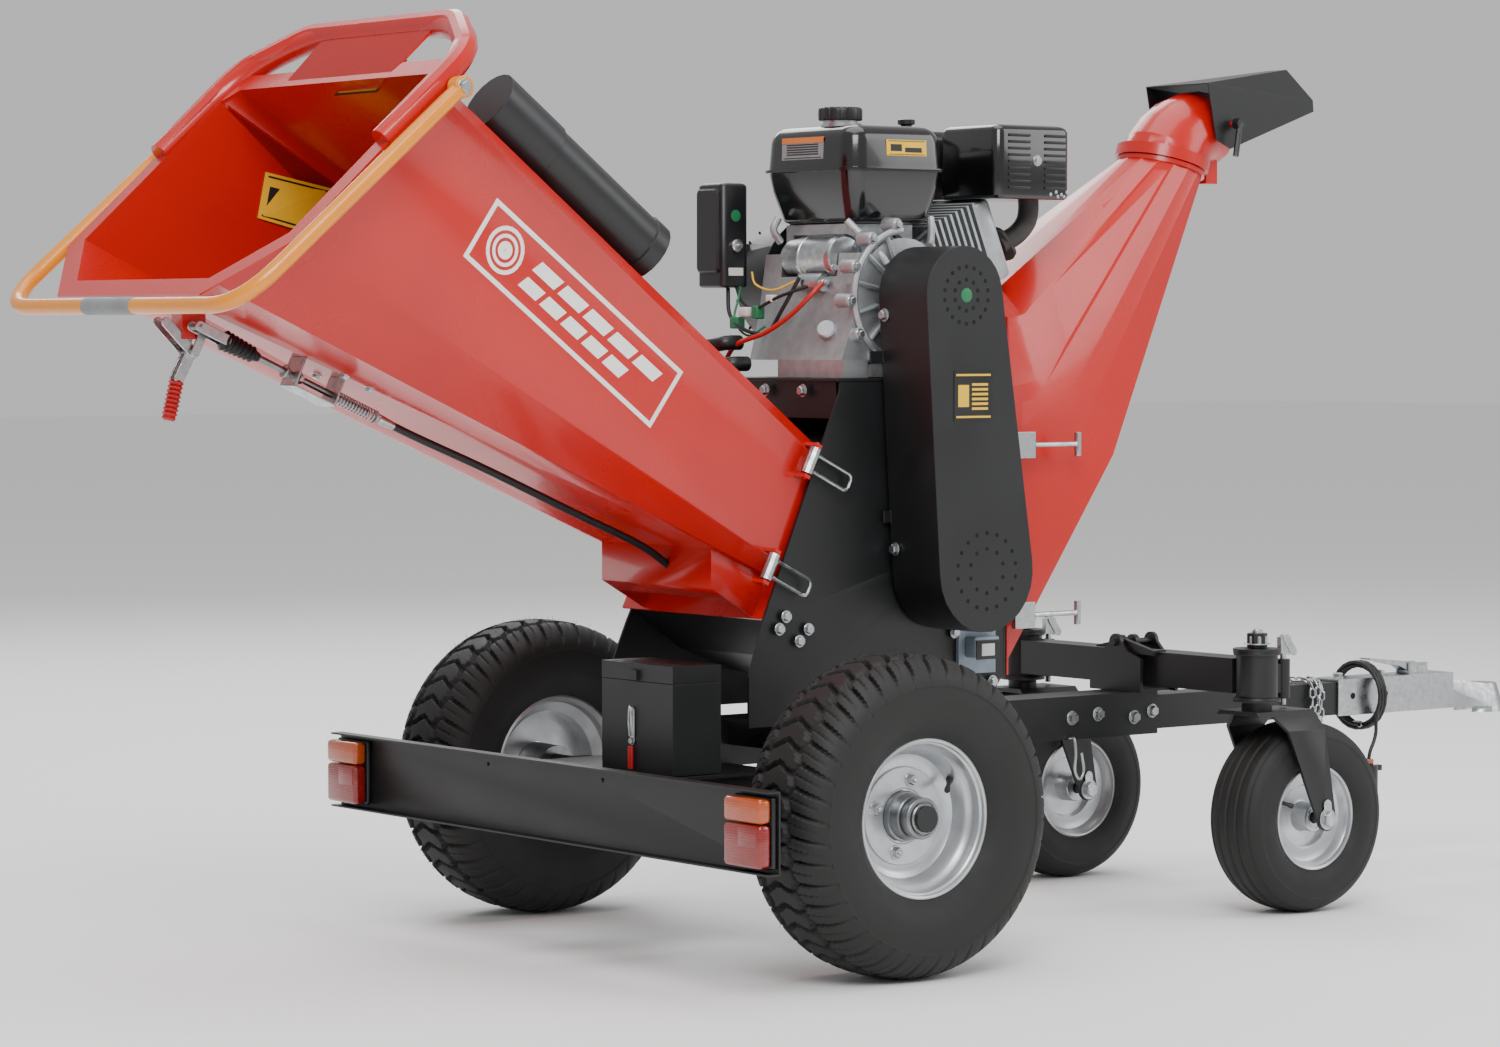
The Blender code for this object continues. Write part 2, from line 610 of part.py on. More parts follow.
def casters():
    for index, (side, sign) in enumerate(SIDES):
        sleeve_y = sign * CASTER_TRACK / 2
        fold = pivot(f"caster_fold_{side}_axis", (CASTER_SLEEVE_X, 0, FOLD_PIN_Z))
        arm_y = sorted((sign * 0.046, sign * (CASTER_TRACK / 2 - SLEEVE_R + 0.006)))
        half = ARM_TUBE / 2
        x = (CASTER_SLEEVE_X - half, CASTER_SLEEVE_X + half)
        arm = block(x, arm_y, (ARM_TOP_Z - ARM_TUBE, ARM_TOP_Z))
        room = block((x[0] + 0.004, x[1] - 0.004), sorted((sign * 0.03, sign * 0.255)),
                     (ARM_TOP_Z - ARM_TUBE + 0.004, ARM_TOP_Z - 0.004))
        sleeve = rod(SLEEVE_R, *SLEEVE_Z, "z", (CASTER_SLEEVE_X, sleeve_y), 20)
        collar = rod(SLEEVE_R + 0.006, SLEEVE_Z[1] - 0.001, SLEEVE_Z[1] + 0.004, "z",
                     (CASTER_SLEEVE_X, sleeve_y), 20)
        lug_x = CASTER_SLEEVE_X - 0.036 + 0.029 * index
        lug_outline = [(sign * 0.046, ARM_TOP_Z - 0.006), (sign * 0.090, ARM_TOP_Z - 0.006),
                       (sign * 0.090, ARM_TOP_Z + 0.002), *arc((0, FOLD_PIN_Z), 0.0135,
                                                               90 - sign * 60, 90 + sign * 170, 10)]
        lug = sheet_outline(lug_outline, 0.010, 0)
        lug.matrix_world = (Matrix.Translation((lug_x, 0, 0))
                            @ Matrix.Rotation(math.pi / 2, 4, "Z") @ lug.matrix_world)
        tail = block((x[0] - 0.002, x[0] + 0.020) if index == 0 else (x[0] + 0.015, x[0] + 0.037),
                     sorted((sign * 0.050, sign * 0.088)), (ARM_TOP_Z - 0.008, ARM_TOP_Z + 0.003))
        lock_x = CASTER_SLEEVE_X + 0.062
        housing = rod(0.012, 0.3700, 0.4380, "z", (lock_x, sleeve_y), 16)
        web = block((CASTER_SLEEVE_X + 0.030, lock_x), (sleeve_y - 0.006, sleeve_y + 0.006),
                    (0.3800, 0.4300))
        arm = cut(arm, room)
        arm = joined(arm, sleeve, collar, lug, tail, housing, web)
        stem_room = rod(STEM_R + GAP, 0.34, 0.50, "z", (CASTER_SLEEVE_X, sleeve_y), 16)
        pin_room = rod(FOLD_PIN_R + GAP, 0.85, 1.00, "x", (0, FOLD_PIN_Z), 14)
        lock_room = rod(0.0065, 0.36, 0.45, "z", (lock_x, sleeve_y), 12)
        part(cut(arm, stem_room, pin_room, lock_room), f"caster_arm_{side}", "black_paint", fold)

        lock = rod(0.0055, 0.3590, 0.4560, "z", (lock_x, sleeve_y), 12)
        knob = block((lock_x - 0.010, lock_x + 0.014), (sleeve_y - 0.005, sleeve_y + 0.005),
                     (0.4480, 0.4760))
        part(joined(lock, knob), f"swivel_lock_{side}", "zinc", fold)
        swivel = pivot(f"caster_swivel_{side}_axis", (CASTER_SLEEVE_X, sleeve_y, FORK_PLATE_Z),
                       parent=fold)
        caster_fork(side, sleeve_y, lock_x, swivel)
        wheel = (CASTER_SLEEVE_X + CASTER_TRAIL, sleeve_y, CASTER_TYRE_R)
        roll = pivot(f"caster_wheel_{side}_axis", wheel, parent=swivel)
        tyre = tyre_profile(CASTER_TYRE_R, CASTER_TYRE_W, CASTER_RIM_R, 0.007)
        part(turned(tyre, wheel, steps=28), f"caster_tyre_{side}", "tyre_rubber", roll)
        rim = rim_profile(CASTER_RIM_R, 0.094, 0.020, 0.050, 0.0, 0.0085 + GAP)
        part(turned(rim, wheel, steps=16), f"caster_rim_{side}", "rim_silver", roll)


def caster_fork(side, sleeve_y, lock_x, swivel):
    """Stem, top plate with bevelled shoulders and two legs that trail to the axle."""
    wheel_x = CASTER_SLEEVE_X + CASTER_TRAIL
    plate_top = FORK_PLATE_Z + FORK_SHEET
    shoulder_z = 0.3210
    half = [(0.0450, plate_top), (FORK_LEG_Y + 0.003, shoulder_z), (FORK_LEG_Y + 0.003, 0.1300),
            (FORK_LEG_Y - 0.003, 0.1300), (FORK_LEG_Y - 0.003, shoulder_z - 0.003),
            (0.0420, FORK_PLATE_Z)]
    strap = half + [(-y, z) for y, z in reversed(half)]
    ends = [[(x, sleeve_y + y, z) for y, z in strap] for x in (0.80, 1.12)]
    low_x, high_x = CASTER_SLEEVE_X - 0.045, lock_x + 0.028
    side_view = [(low_x, plate_top + 0.01), (high_x, plate_top + 0.01), (high_x, FORK_PLATE_Z - 0.001),
                 (high_x - 0.002, shoulder_z), *arc((wheel_x, CASTER_TYRE_R), 0.021, 15, -150, 8),
                 (low_x + 0.046, shoulder_z), (low_x + 0.035, FORK_PLATE_Z - 0.001),
                 (low_x, FORK_PLATE_Z - 0.001)]
    wide = 2 * FORK_LEG_Y + 0.05
    fork = combine(loft(ends), [sheet_outline(side_view[::-1], wide, sleeve_y)], "INTERSECT")
    middle = (CASTER_SLEEVE_X, sleeve_y)
    stem = rod(STEM_R, FORK_PLATE_Z + 0.002, 0.4640, "z", middle, 16)
    nut = rod(0.018, 0.4600, 0.4850, "z", middle, 6)
    washer = rod(0.026, FORK_PLATE_Z + 0.003, SLEEVE_Z[0] - GAP, "z", middle, 16)
    axle = rod(0.0085, sleeve_y - FORK_LEG_Y - 0.014, sleeve_y + FORK_LEG_Y + 0.014, "y",
               (wheel_x, CASTER_TYRE_R), 16)
    catch = rod(0.0065, 0.33, 0.36, "z", (lock_x, sleeve_y), 12)
    fork = cut(joined(fork, washer, stem, nut, axle), catch)
    part(fork, f"caster_fork_{side}", "black_paint", swivel)


# ---------------------------------------------------------------- hopper
def mouth(y, up, out=0.0):
    return on_plane(MOUTH_FOOT, MOUTH_TILT, y, up, out)


def throat(y, up, out=0.0):
    return on_plane(THROAT_FOOT, THROAT_TILT, y, up, out)


def eight_sided(half, floor_half, low, side_low, side_high, top, top_half, place):
    right = [(-floor_half, low), (-half, side_low), (-half, side_high), (-top_half, top)]
    left = [(-y, up) for y, up in reversed(right)]
    return [place(y, up) for y, up in left + right]


def hopper():
    hinge_y = HINGE_Y
    swing = pivot("hopper_swing_axis", throat(hinge_y, THROAT_TOP / 2))
    lip = MOUTH_LIP
    outer = eight_sided(MOUTH_HALF, MOUTH_FLOOR_HALF, 0, MOUTH_SIDE_LOW, MOUTH_SIDE_HIGH,
                        MOUTH_TOP, MOUTH_HALF - 0.045, mouth)
    inner = eight_sided(MOUTH_HALF - lip, MOUTH_FLOOR_HALF - 0.45 * lip, lip,
                        MOUTH_SIDE_LOW + 0.45 * lip, MOUTH_SIDE_HIGH - 0.45 * lip,
                        MOUTH_TOP - lip, MOUTH_HALF - 0.045 - 0.6 * lip, mouth)
    small = eight_sided(THROAT_INNER_HALF + 0.003, THROAT_INNER_HALF - 0.010, THROAT_FLOOR,
                        THROAT_FLOOR + 0.020, THROAT_TOP - 0.030, THROAT_TOP - 0.010,
                        THROAT_INNER_HALF - 0.010, throat)
    funnel = walled(loft([outer, inner, small], closed=False), SHEET, 0)
    flange = throat_flange()
    skirt = hopper_skirt()
    corners = [mouth(-MOUTH_HALF + 0.016, 0.330, 0.004), mouth(-MOUTH_HALF + 0.012, 0.530, 0.004),
               mouth(-0.205, 0.612, 0.004), mouth(0.205, 0.612, 0.004),
               mouth(MOUTH_HALF - 0.012, 0.530, 0.004), mouth(MOUTH_HALF - 0.016, 0.330, 0.004)]
    bow = bent(rounded(corners, 0.070), BOW_R, 3)
    bridge = loft([[mouth(-0.150, 0.500, -0.002), mouth(0.150, 0.500, -0.002),
                    mouth(0.150, 0.500, 0.002), mouth(-0.150, 0.500, 0.002)],
                   [mouth(-0.160, 0.640, 0.002), mouth(0.160, 0.640, 0.002),
                    mouth(0.160, 0.640, 0.006), mouth(-0.160, 0.640, 0.006)]])
    pegs = [rod(0.008, *sorted((s * 0.298, s * (STOP_HALF + 0.006))), "y", STOP_PIVOT, 12)
            for s in (-1, 1)]
    knuckle = rod_between(throat(hinge_y, 0.030, 0), throat(hinge_y, 0.270, 0), 0.008, 12)
    bracket = stop_bracket()
    shell = joined(funnel, flange, skirt, bow, bridge, *pegs, knuckle, bracket, *latch_lugs())
    part(shell, "hopper_shell", "red_paint", swing)
    stop_gear(swing)
    manual_tube(swing)
    hopper_latches(swing)


def throat_flange():
    plate = loft([[throat(-THROAT_HALF, 0, 0.0045), throat(HINGE_Y, 0, 0.0045),
                   throat(HINGE_Y, THROAT_TOP, 0.0045),
                   throat(-THROAT_HALF, THROAT_TOP, 0.0045)],
                  [throat(-THROAT_HALF, 0, GAP), throat(HINGE_Y, 0, GAP),
                   throat(HINGE_Y, THROAT_TOP, GAP),
                   throat(-THROAT_HALF, THROAT_TOP, GAP)]])
    half = THROAT_INNER_HALF + 0.0025
    low, high = THROAT_FLOOR + 0.0015, THROAT_TOP - 0.0125
    window = loft([[throat(-half, low, 0.02), throat(half, low, 0.02),
                    throat(half, high, 0.02), throat(-half, high, 0.02)],
                   [throat(-half, low, -0.02), throat(half, low, -0.02),
                    throat(half, high, -0.02), throat(-half, high, -0.02)]])
    return cut(plate, window)


def hopper_skirt():
    """A gusset pan below the floor that stiffens the joint with the throat flange."""
    half = 0.150
    pan = loft([[throat(-half, 0.004, 0.003), throat(half, 0.004, 0.003),
                 throat(half, 0.082, 0.003), throat(-half, 0.082, 0.003)],
                [throat(-half, 0.010, 0.100), throat(half, 0.010, 0.100),
                 throat(half, 0.070, 0.130), throat(-half, 0.070, 0.130)]])
    room = block((-0.20, 0.02), (-half + 0.004, half - 0.004), (0.40, 0.5740))
    return cut(pan, room)


def stop_bracket():
    """A bent strap below the floor that carries the stop lever."""
    return block((-0.990, -0.950), (-0.016, 0.016), (0.9900, 1.0700))


def stop_gear(swing):
    hinge = pivot("stop_bar_axis", (STOP_PIVOT[0], 0, STOP_PIVOT[1]), parent=swing)
    x0, z0 = STOP_PIVOT
    x1, z1 = STOP_FOOT
    corners = [(x0, -STOP_HALF, z0), (x1 + 0.010, -STOP_FOOT_HALF, z1 + 0.010),
               (x1, -STOP_FOOT_HALF + 0.040, z1), (x1, STOP_FOOT_HALF - 0.040, z1),
               (x1 + 0.010, STOP_FOOT_HALF, z1 + 0.010), (x0, STOP_HALF, z0)]
    bar = bent(rounded(corners, 0.040, 3), STOP_TUBE_R, 2)
    eyes = [rod(0.018, *sorted((s * (STOP_HALF - 0.012), s * (STOP_HALF - 0.003))), "y",
                STOP_PIVOT, 20) for s in (-1, 1)]
    holes = [rod(0.0088, *sorted((s * 0.30, s * 0.40)), "y", STOP_PIVOT, 12) for s in (-1, 1)]
    part(cut(joined(bar, *eyes), *holes), "stop_bar", "yellow_paint", hinge)

    lever_axis = pivot("stop_lever_axis", (-0.970, 0.0, 0.9700), parent=swing)
    link = joined(block((-0.984, -0.956), (-0.006, 0.006), (0.9480, 0.9700)),
                  rod(0.0180, -0.006, 0.006, "y", (-0.970, 0.9700), 20))
    arm = rod_between((-0.970, 0, 0.960), (-0.992, 0, 0.925), 0.006, 10)
    grip = rod_between((-0.991, 0, 0.927), (-1.006, 0, 0.868), 0.012, 12)
    part(joined(link, arm, grip), "stop_lever", "red_grip", lever_axis)


def manual_tube(swing):
    """A capped canister for papers, along the top of the hopper on its belt side."""
    def top(share, lift):
        low = Vector(mouth(-0.215, MOUTH_TOP - MOUTH_LIP))
        high = Vector(throat(-0.120, THROAT_TOP - 0.010))
        along = (high - low).normalized()
        up = Vector((-along.z, 0, along.x)).normalized()
        if up.z < 0:
            up = -up
        return low + along * share + up * lift

    radius = 0.052
    slim = radius - 0.003
    axis = (top(1, 0) - top(0, 0)).normalized()
    upright = Vector((-axis.z, 0, axis.x))
    rings = []
    for share, size in ((0.140, radius), (0.270, radius), (0.2705, slim), (0.5050, slim),
                        (0.5055, radius), (0.5350, radius)):
        middle = top(share, radius + 0.006)
        rings.append([tuple(middle + upright * size * math.cos(2 * math.pi * k / 20)
                            + Vector((0, 1, 0)) * size * math.sin(2 * math.pi * k / 20))
                      for k in range(20)])
    part(loft(rings), "manual_tube", "black_plastic", swing)


def hopper_latches(swing):
    """Two over-centre latches: a knuckle on the hopper and a wire loop over the side plate."""
    y = -SIDE_Y - 0.0075
    for name, up in (("upper", 0.262), ("lower", 0.075)):
        hinge = pivot(f"hopper_latch_{name}_axis", throat(y - 0.006, up, 0.046), parent=swing)
        knuckle = rod_between(throat(y - 0.006, up - 0.022, 0.046), throat(y - 0.006, up + 0.022, 0.046),
                              0.010, 10)
        loop = rounded([throat(y - 0.006, up - 0.014, 0.046), throat(y - 0.008, up - 0.014, -0.040),
                        throat(y - 0.008, up + 0.014, -0.040), throat(y - 0.006, up + 0.014, 0.046)],
                       0.008, 2)
        bore = rod_between(throat(y - 0.006, up - 0.03, 0.046), throat(y - 0.006, up + 0.03, 0.046),
                           0.0035 + GAP, 8)
        latch = cut(joined(knuckle, bent(loop, 0.003, 1)), bore)
        part(latch, f"hopper_latch_{name}", "zinc", hinge)


def latch_lugs():
    """A pin between two ears beside the throat for each latch."""
    shapes = []
    y = -SIDE_Y - 0.0135
    for up in (0.262, 0.075):
        shapes.append(rod_between(throat(y, up - 0.032, 0.046), throat(y, up + 0.032, 0.046), 0.0035, 8))
        for side in (-1, 1):
            low, high = sorted((up + side * 0.024, up + side * 0.030))
            ear = loft([[throat(-0.1800, low, 0.040), throat(y - 0.006, low, 0.040),
                         throat(y - 0.006, high, 0.040), throat(-0.1800, high, 0.040)],
                        [throat(-0.1800, low, 0.054), throat(y - 0.006, low, 0.052),
                         throat(y - 0.006, high, 0.052), throat(-0.1800, high, 0.054)]])
            shapes.append(ear)
    return shapes


# ---------------------------------------------------------------- rotor and drive
def rotor_housing():
    """A welded wrapper and a drum liner between the side plates, open to hopper and chute."""
    half = SIDE_Y - PLATE - GAP
    wall = 0.005
    rear_low = throat(0, 0.002, -GAP)
    rear_high = throat(0, THROAT_TOP - 0.002, -GAP)
    front = CHUTE_X - GAP
    low = 0.4250
    outline = [(rear_low[0], rear_low[2]), (0.0800, 0.4700), (0.2000, low), (front, low),
               (front, 0.8850), (0.2300, 0.8650), (rear_high[0], rear_high[2])]
    hollow = [(rear_low[0] + 0.0090, rear_low[2] + 0.0015), (0.0820, 0.4750), (0.2010, low + wall),
              (front - wall, low + wall), (front - wall, 0.8790), (0.2320, 0.8595),
              (rear_high[0] + 0.0030, rear_high[2] - 0.0050)]
    body = cut(sheet_outline(outline, 2 * half, 0), sheet_outline(hollow, 2 * half + 0.02, 0))
    liner = rod(CHAMBER_R + wall, -half, half, "y", ROTOR, 32)
    chamber = rod(CHAMBER_R, -half - 0.01, half + 0.01, "y", ROTOR, 32)
    ahead = block((front - 0.002, front + 0.05), (-0.25, 0.25), (0.40, 0.90))
    body = joined(body, cut(liner, chamber, ahead))
    floor = THROAT_FLOOR + 0.004
    top = THROAT_TOP - 0.014
    infeed = loft([[throat(-0.160, floor, 0.05), throat(0.160, floor, 0.05),
                    throat(0.160, top, 0.05), throat(-0.160, top, 0.05)],
                   [(0.2400, -0.160, 0.5300), (0.2400, 0.160, 0.5300),
                    (0.2400, 0.160, 0.7300), (0.2400, -0.160, 0.7300)]])
    outlet = sheet_outline([(0.3300, 0.5000), (front + 0.01, 0.4900), (front + 0.01, 0.8600),
                            (0.3300, 0.7300)], 2 * 0.160, 0)
    part(cut(body, infeed, outlet), "rotor_housing", "black_paint")


def rotor():
    """Shaft, three discs and four knife bars, with the driven pulley keyed on the shaft."""
    spin = pivot("rotor_axis", (ROTOR[0], 0, ROTOR[1]))
    shaft = rod(ROTOR_SHAFT_R - GAP, BELT_Y - BELT_W / 2 - 0.006, 0.214, "y", ROTOR, 20)
    discs = [rod(ROTOR_R - 0.012, y - 0.008, y + 0.008, "y", ROTOR, 24) for y in (-0.150, 0, 0.150)]
    bars = []
    for k in range(4):
        turn = math.radians(20 + 90 * k)
        bar = block((-0.018, 0.018), (-0.152, 0.152), (-0.006, 0.006))
        reach = ROTOR_R - 0.020
        bar.matrix_world = (Matrix.Translation((ROTOR[0] + reach * math.cos(turn), 0,
                                                ROTOR[1] + reach * math.sin(turn)))
                            @ Matrix.Rotation(-turn, 4, "Y"))
        bars.append(bar)
    half = BELT_W / 2
    pulley = turned([(0.015, -half - 0.004), (DRIVEN_PULLEY_R, -half - 0.004),
                     (DRIVEN_PULLEY_R, -half), (DRIVEN_PULLEY_R - 0.011, -half + 0.003),
                     (DRIVEN_PULLEY_R - 0.011, half - 0.003), (DRIVEN_PULLEY_R, half),
                     (DRIVEN_PULLEY_R, half + 0.004), (0.015, half + 0.004)],
                    (ROTOR[0], BELT_Y, ROTOR[1]), steps=20)
    part(joined(shaft, *discs, *bars, pulley), "rotor", "steel", spin)


def drive():
    spin = pivot("drive_pulley_axis", (CRANK[0], BELT_Y, CRANK[1]))
    half = BELT_W / 2
    pulley = turned([(CRANK_R - 0.002, -half - 0.004), (DRIVE_PULLEY_R, -half - 0.004),
                     (DRIVE_PULLEY_R, -half), (DRIVE_PULLEY_R - 0.011, -half + 0.003),
                     (DRIVE_PULLEY_R - 0.011, half - 0.003), (DRIVE_PULLEY_R, half),
                     (DRIVE_PULLEY_R, half + 0.004), (CRANK_R - 0.002, half + 0.004)],
                    (CRANK[0], BELT_Y, CRANK[1]), steps=16)
    shaft = rod(CRANK_R, BELT_Y - half - 0.006, ENGINE_FACE_Y - 0.0006, "y", CRANK, 16)
    part(joined(shaft, pulley), "drive_pulley", "steel", spin)
    belt()


def hull_of_two(centre_a, radius_a, centre_b, radius_b, steps=12):
    """The outline of a band round two circles, from their outer tangents."""
    run = Vector((centre_b[0] - centre_a[0], centre_b[1] - centre_a[1]))
    lean = math.degrees(math.atan2(run.y, run.x))
    spread = math.degrees(math.acos((radius_a - radius_b) / run.length))
    first = arc(centre_a, radius_a, lean + spread, lean + 360 - spread, steps)
    second = arc(centre_b, radius_b, lean - spread, lean + spread, steps)
    return first + second


def belt():
    sit = 0.0095
    inner = hull_of_two(CRANK, DRIVE_PULLEY_R - sit, ROTOR, DRIVEN_PULLEY_R - sit, 14)
    outer = hull_of_two(CRANK, DRIVE_PULLEY_R - sit + 0.009, ROTOR, DRIVEN_PULLEY_R - sit + 0.009, 14)
    part(sheet_outline(outer, BELT_W - 0.008, BELT_Y, (inner,)), "drive_belt", "belt_rubber")


def belt_guard():
    face, back = GUARD_Y
    wall = 0.003
    outline = hull_of_two(CRANK, GUARD_TOP_R, ROTOR, GUARD_LOW_R, 14)
    inside = hull_of_two(CRANK, GUARD_TOP_R - wall, ROTOR, GUARD_LOW_R - wall, 14)
    shell = sheet_outline(outline, back - face, (face + back) / 2)
    room = sheet_outline(inside, back - face, (face + back) / 2 + wall)
    tabs = [block((CRANK[0] - 0.100, CRANK[0] - 0.060), (back - 0.004, back), (0.9500, 0.9700)),
            block((ROTOR[0] - 0.120, ROTOR[0] - 0.080), (back - 0.004, back), (0.6900, 0.7100))]
    part(joined(cut(shell, room), *tabs), "belt_guard", "black_paint")


def meter_box():
    shelf = block((0.3700, 0.4500), (-0.1985, -0.1905), (0.4350, 0.5080))
    face = block((0.3830, 0.4370), (-0.2250, -0.1980), (0.4620, 0.4980), 0.004)
    part(joined(shelf, as_mesh(face)), "meter_box", "meter_plastic")


# ---------------------------------------------------------------- engine
def engine():
    face = ENGINE_FACE_Y
    cx, cz = CRANK
    rails = [block((x, x + 0.050), (-0.175, 0.000), (DECK_TOP_Z + GAP, ENGINE_BASE_Z + 0.001))
             for x in (0.1450, 0.3350)]
    sump = loft([[(0.1480, face, ENGINE_BASE_Z), (0.3850, face, ENGINE_BASE_Z),
                  (0.3850, 0.0800, ENGINE_BASE_Z), (0.1480, 0.0800, ENGINE_BASE_Z)],
                 [(0.1750, face, 1.0300), (0.3950, face, 1.0300),
                  (0.3950, 0.0900, 1.0300), (0.1750, 0.0900, 1.0300)],
                 [(0.1900, face + 0.010, 1.1300), (0.3700, face + 0.010, 1.1300),
                  (0.3700, 0.0900, 1.1300), (0.1900, 0.0900, 1.1300)]])
    cover = rod(0.100, face - GAP / 2, face + 0.030, "y", (cx, cz - 0.005), 28)
    boss = rod(0.034, face - 0.006, face + 0.01, "y", CRANK, 20)
    neck = block((0.2100, 0.3500), (-0.100, 0.060), (1.1250, 1.1785))
    bore = rod(CRANK_R + 0.004, face - 0.02, face + 0.001, "y", CRANK, 16)
    block_shape = joined(sump, cover, boss, neck, *rails)
    cradle = rod(STARTER_R + GAP, -0.106, 0.042, "y", STARTER, 24)
    part(cut(block_shape, bore, cradle), "engine_block", "aluminium")

    fins = [block((0.4030 + 0.013 * k, 0.4080 + 0.013 * k), (-0.120, 0.050), (-0.075, 0.075))
            for k in range(9)]
    barrel = block((0.3960, 0.5150), (-0.095, 0.025), (-0.050, 0.050))
    tilt = Matrix.Translation((cx, 0, cz)) @ Matrix.Rotation(math.radians(-22), 4, "Y")
    tilt = tilt @ Matrix.Translation((-cx, 0, 0))
    head = block((0.5140, 0.5500), (-0.115, 0.045), (-0.070, 0.070), 0.008)
    shapes = [barrel, *fins, as_mesh(head)]
    for shape in shapes:
        shape.matrix_world = tilt @ shape.matrix_world
    lug = block((0.3960, 0.4300), (-0.090, 0.020), (1.0500, 1.1000))
    part(joined(shapes[0], *shapes[1:], lug), "engine_cylinder", "aluminium")
    engine_tank()
    engine_extras()


def engine_tank():
    x, y, z = TANK_X, TANK_Y, TANK_Z
    seam = 1.2680
    upper = block(x, y, (seam - 0.004, z[1]), 0.022)
    lower = loft([[(x[0] + 0.004, y[0] + 0.004, seam), (x[1] - 0.004, y[0] + 0.004, seam),
                   (x[1] - 0.004, y[1] - 0.004, seam), (x[0] + 0.004, y[1] - 0.004, seam)],
                  [(x[0] + 0.020, y[0] + 0.018, z[0]), (x[1] - 0.020, y[0] + 0.018, z[0]),
                   (x[1] - 0.020, y[1] - 0.018, z[0]), (x[0] + 0.020, y[1] - 0.018, z[0])]])
    rim = block((x[0] - 0.005, x[1] + 0.005), (y[0] - 0.005, y[1] + 0.005), (seam - 0.002, seam + 0.002))
    fill_x, fill_y = 0.2450, -0.040
    neck = rod(0.026, z[1] - 0.002, z[1] + 0.010, "z", (fill_x, fill_y), 20)
    tank = joined(as_mesh(upper), lower, rim, neck)
    room = block((x[0] + 0.024, x[1] - 0.024), (y[0] + 0.024, y[1] - 0.024), (z[0] + 0.003, z[1] - 0.003))
    bore = rod(0.021, z[1] - 0.03, z[1] + 0.02, "z", (fill_x, fill_y), 20)
    part(cut(tank, room, bore), "fuel_tank", "black_paint")
    turn = pivot("fuel_cap_axis", (fill_x, fill_y, z[1] + 0.012))
    cap = rod(0.037, z[1] + 0.010 + GAP, z[1] + 0.036, "z", (fill_x, fill_y), 20, 0.035)
    plug = rod(0.0195, z[1] - 0.006, z[1] + 0.012, "z", (fill_x, fill_y), 20)
    part(joined(cap, plug), "fuel_cap", "black_plastic", turn)


def engine_extras():
    shell = block((0.4750, 0.6400), (-0.170, -0.018), (1.2230, 1.3480), 0.012)
    room = block((0.4790, 0.6360), (-0.166, -0.022), (1.2150, 1.3440))
    pipe = rod(0.016, 1.1910, 1.2700, "z", (0.5350, -0.060), 12)
    can = rod(0.045, 0.4860, 0.6290, "x", (-0.094, 1.2820), 20)
    stay = block((0.4760, 0.5000), (-0.110, -0.078), (1.2700, 1.2940))
    guard = cut(as_mesh(shell), room)
    part(joined(guard, can, stay, pipe), "muffler", "black_paint")

    cleaner = block((0.4050, 0.5700), (0.000, 0.150), (1.2245, 1.3420), 0.014)
    knob = rod(0.032, 1.3400, 1.3640, "z", (0.4850, 0.080), 16)
    part(joined(as_mesh(cleaner), knob), "air_cleaner", "black_plastic")

    starter = rod(STARTER_R, -0.098, 0.040, "y", STARTER, 24)
    nose = rod(0.012, -0.104, -0.09, "y", STARTER, 12)
    part(joined(starter, nose), "starter_motor", "zinc")

    control = block((0.1180, 0.1740), (0.115, 0.186), (1.0740, 1.2500), 0.008)
    foot = block((0.1700, 0.1960), (0.120, 0.150), (1.1330, 1.1600))
    part(joined(as_mesh(control), foot), "control_box", "black_plastic")

    shroud = rod(0.118, 0.0960, 0.1900, "y", (0.3050, 1.0800), 32, 0.102)
    bell = rod(0.070, 0.1890, 0.2180, "y", (0.3050, 1.0800), 28, 0.060)
    handle = block((0.2150, 0.2450), (0.1880, 0.2050), (1.1350, 1.1500))
    part(joined(shroud, bell, handle), "recoil_starter", "black_paint")


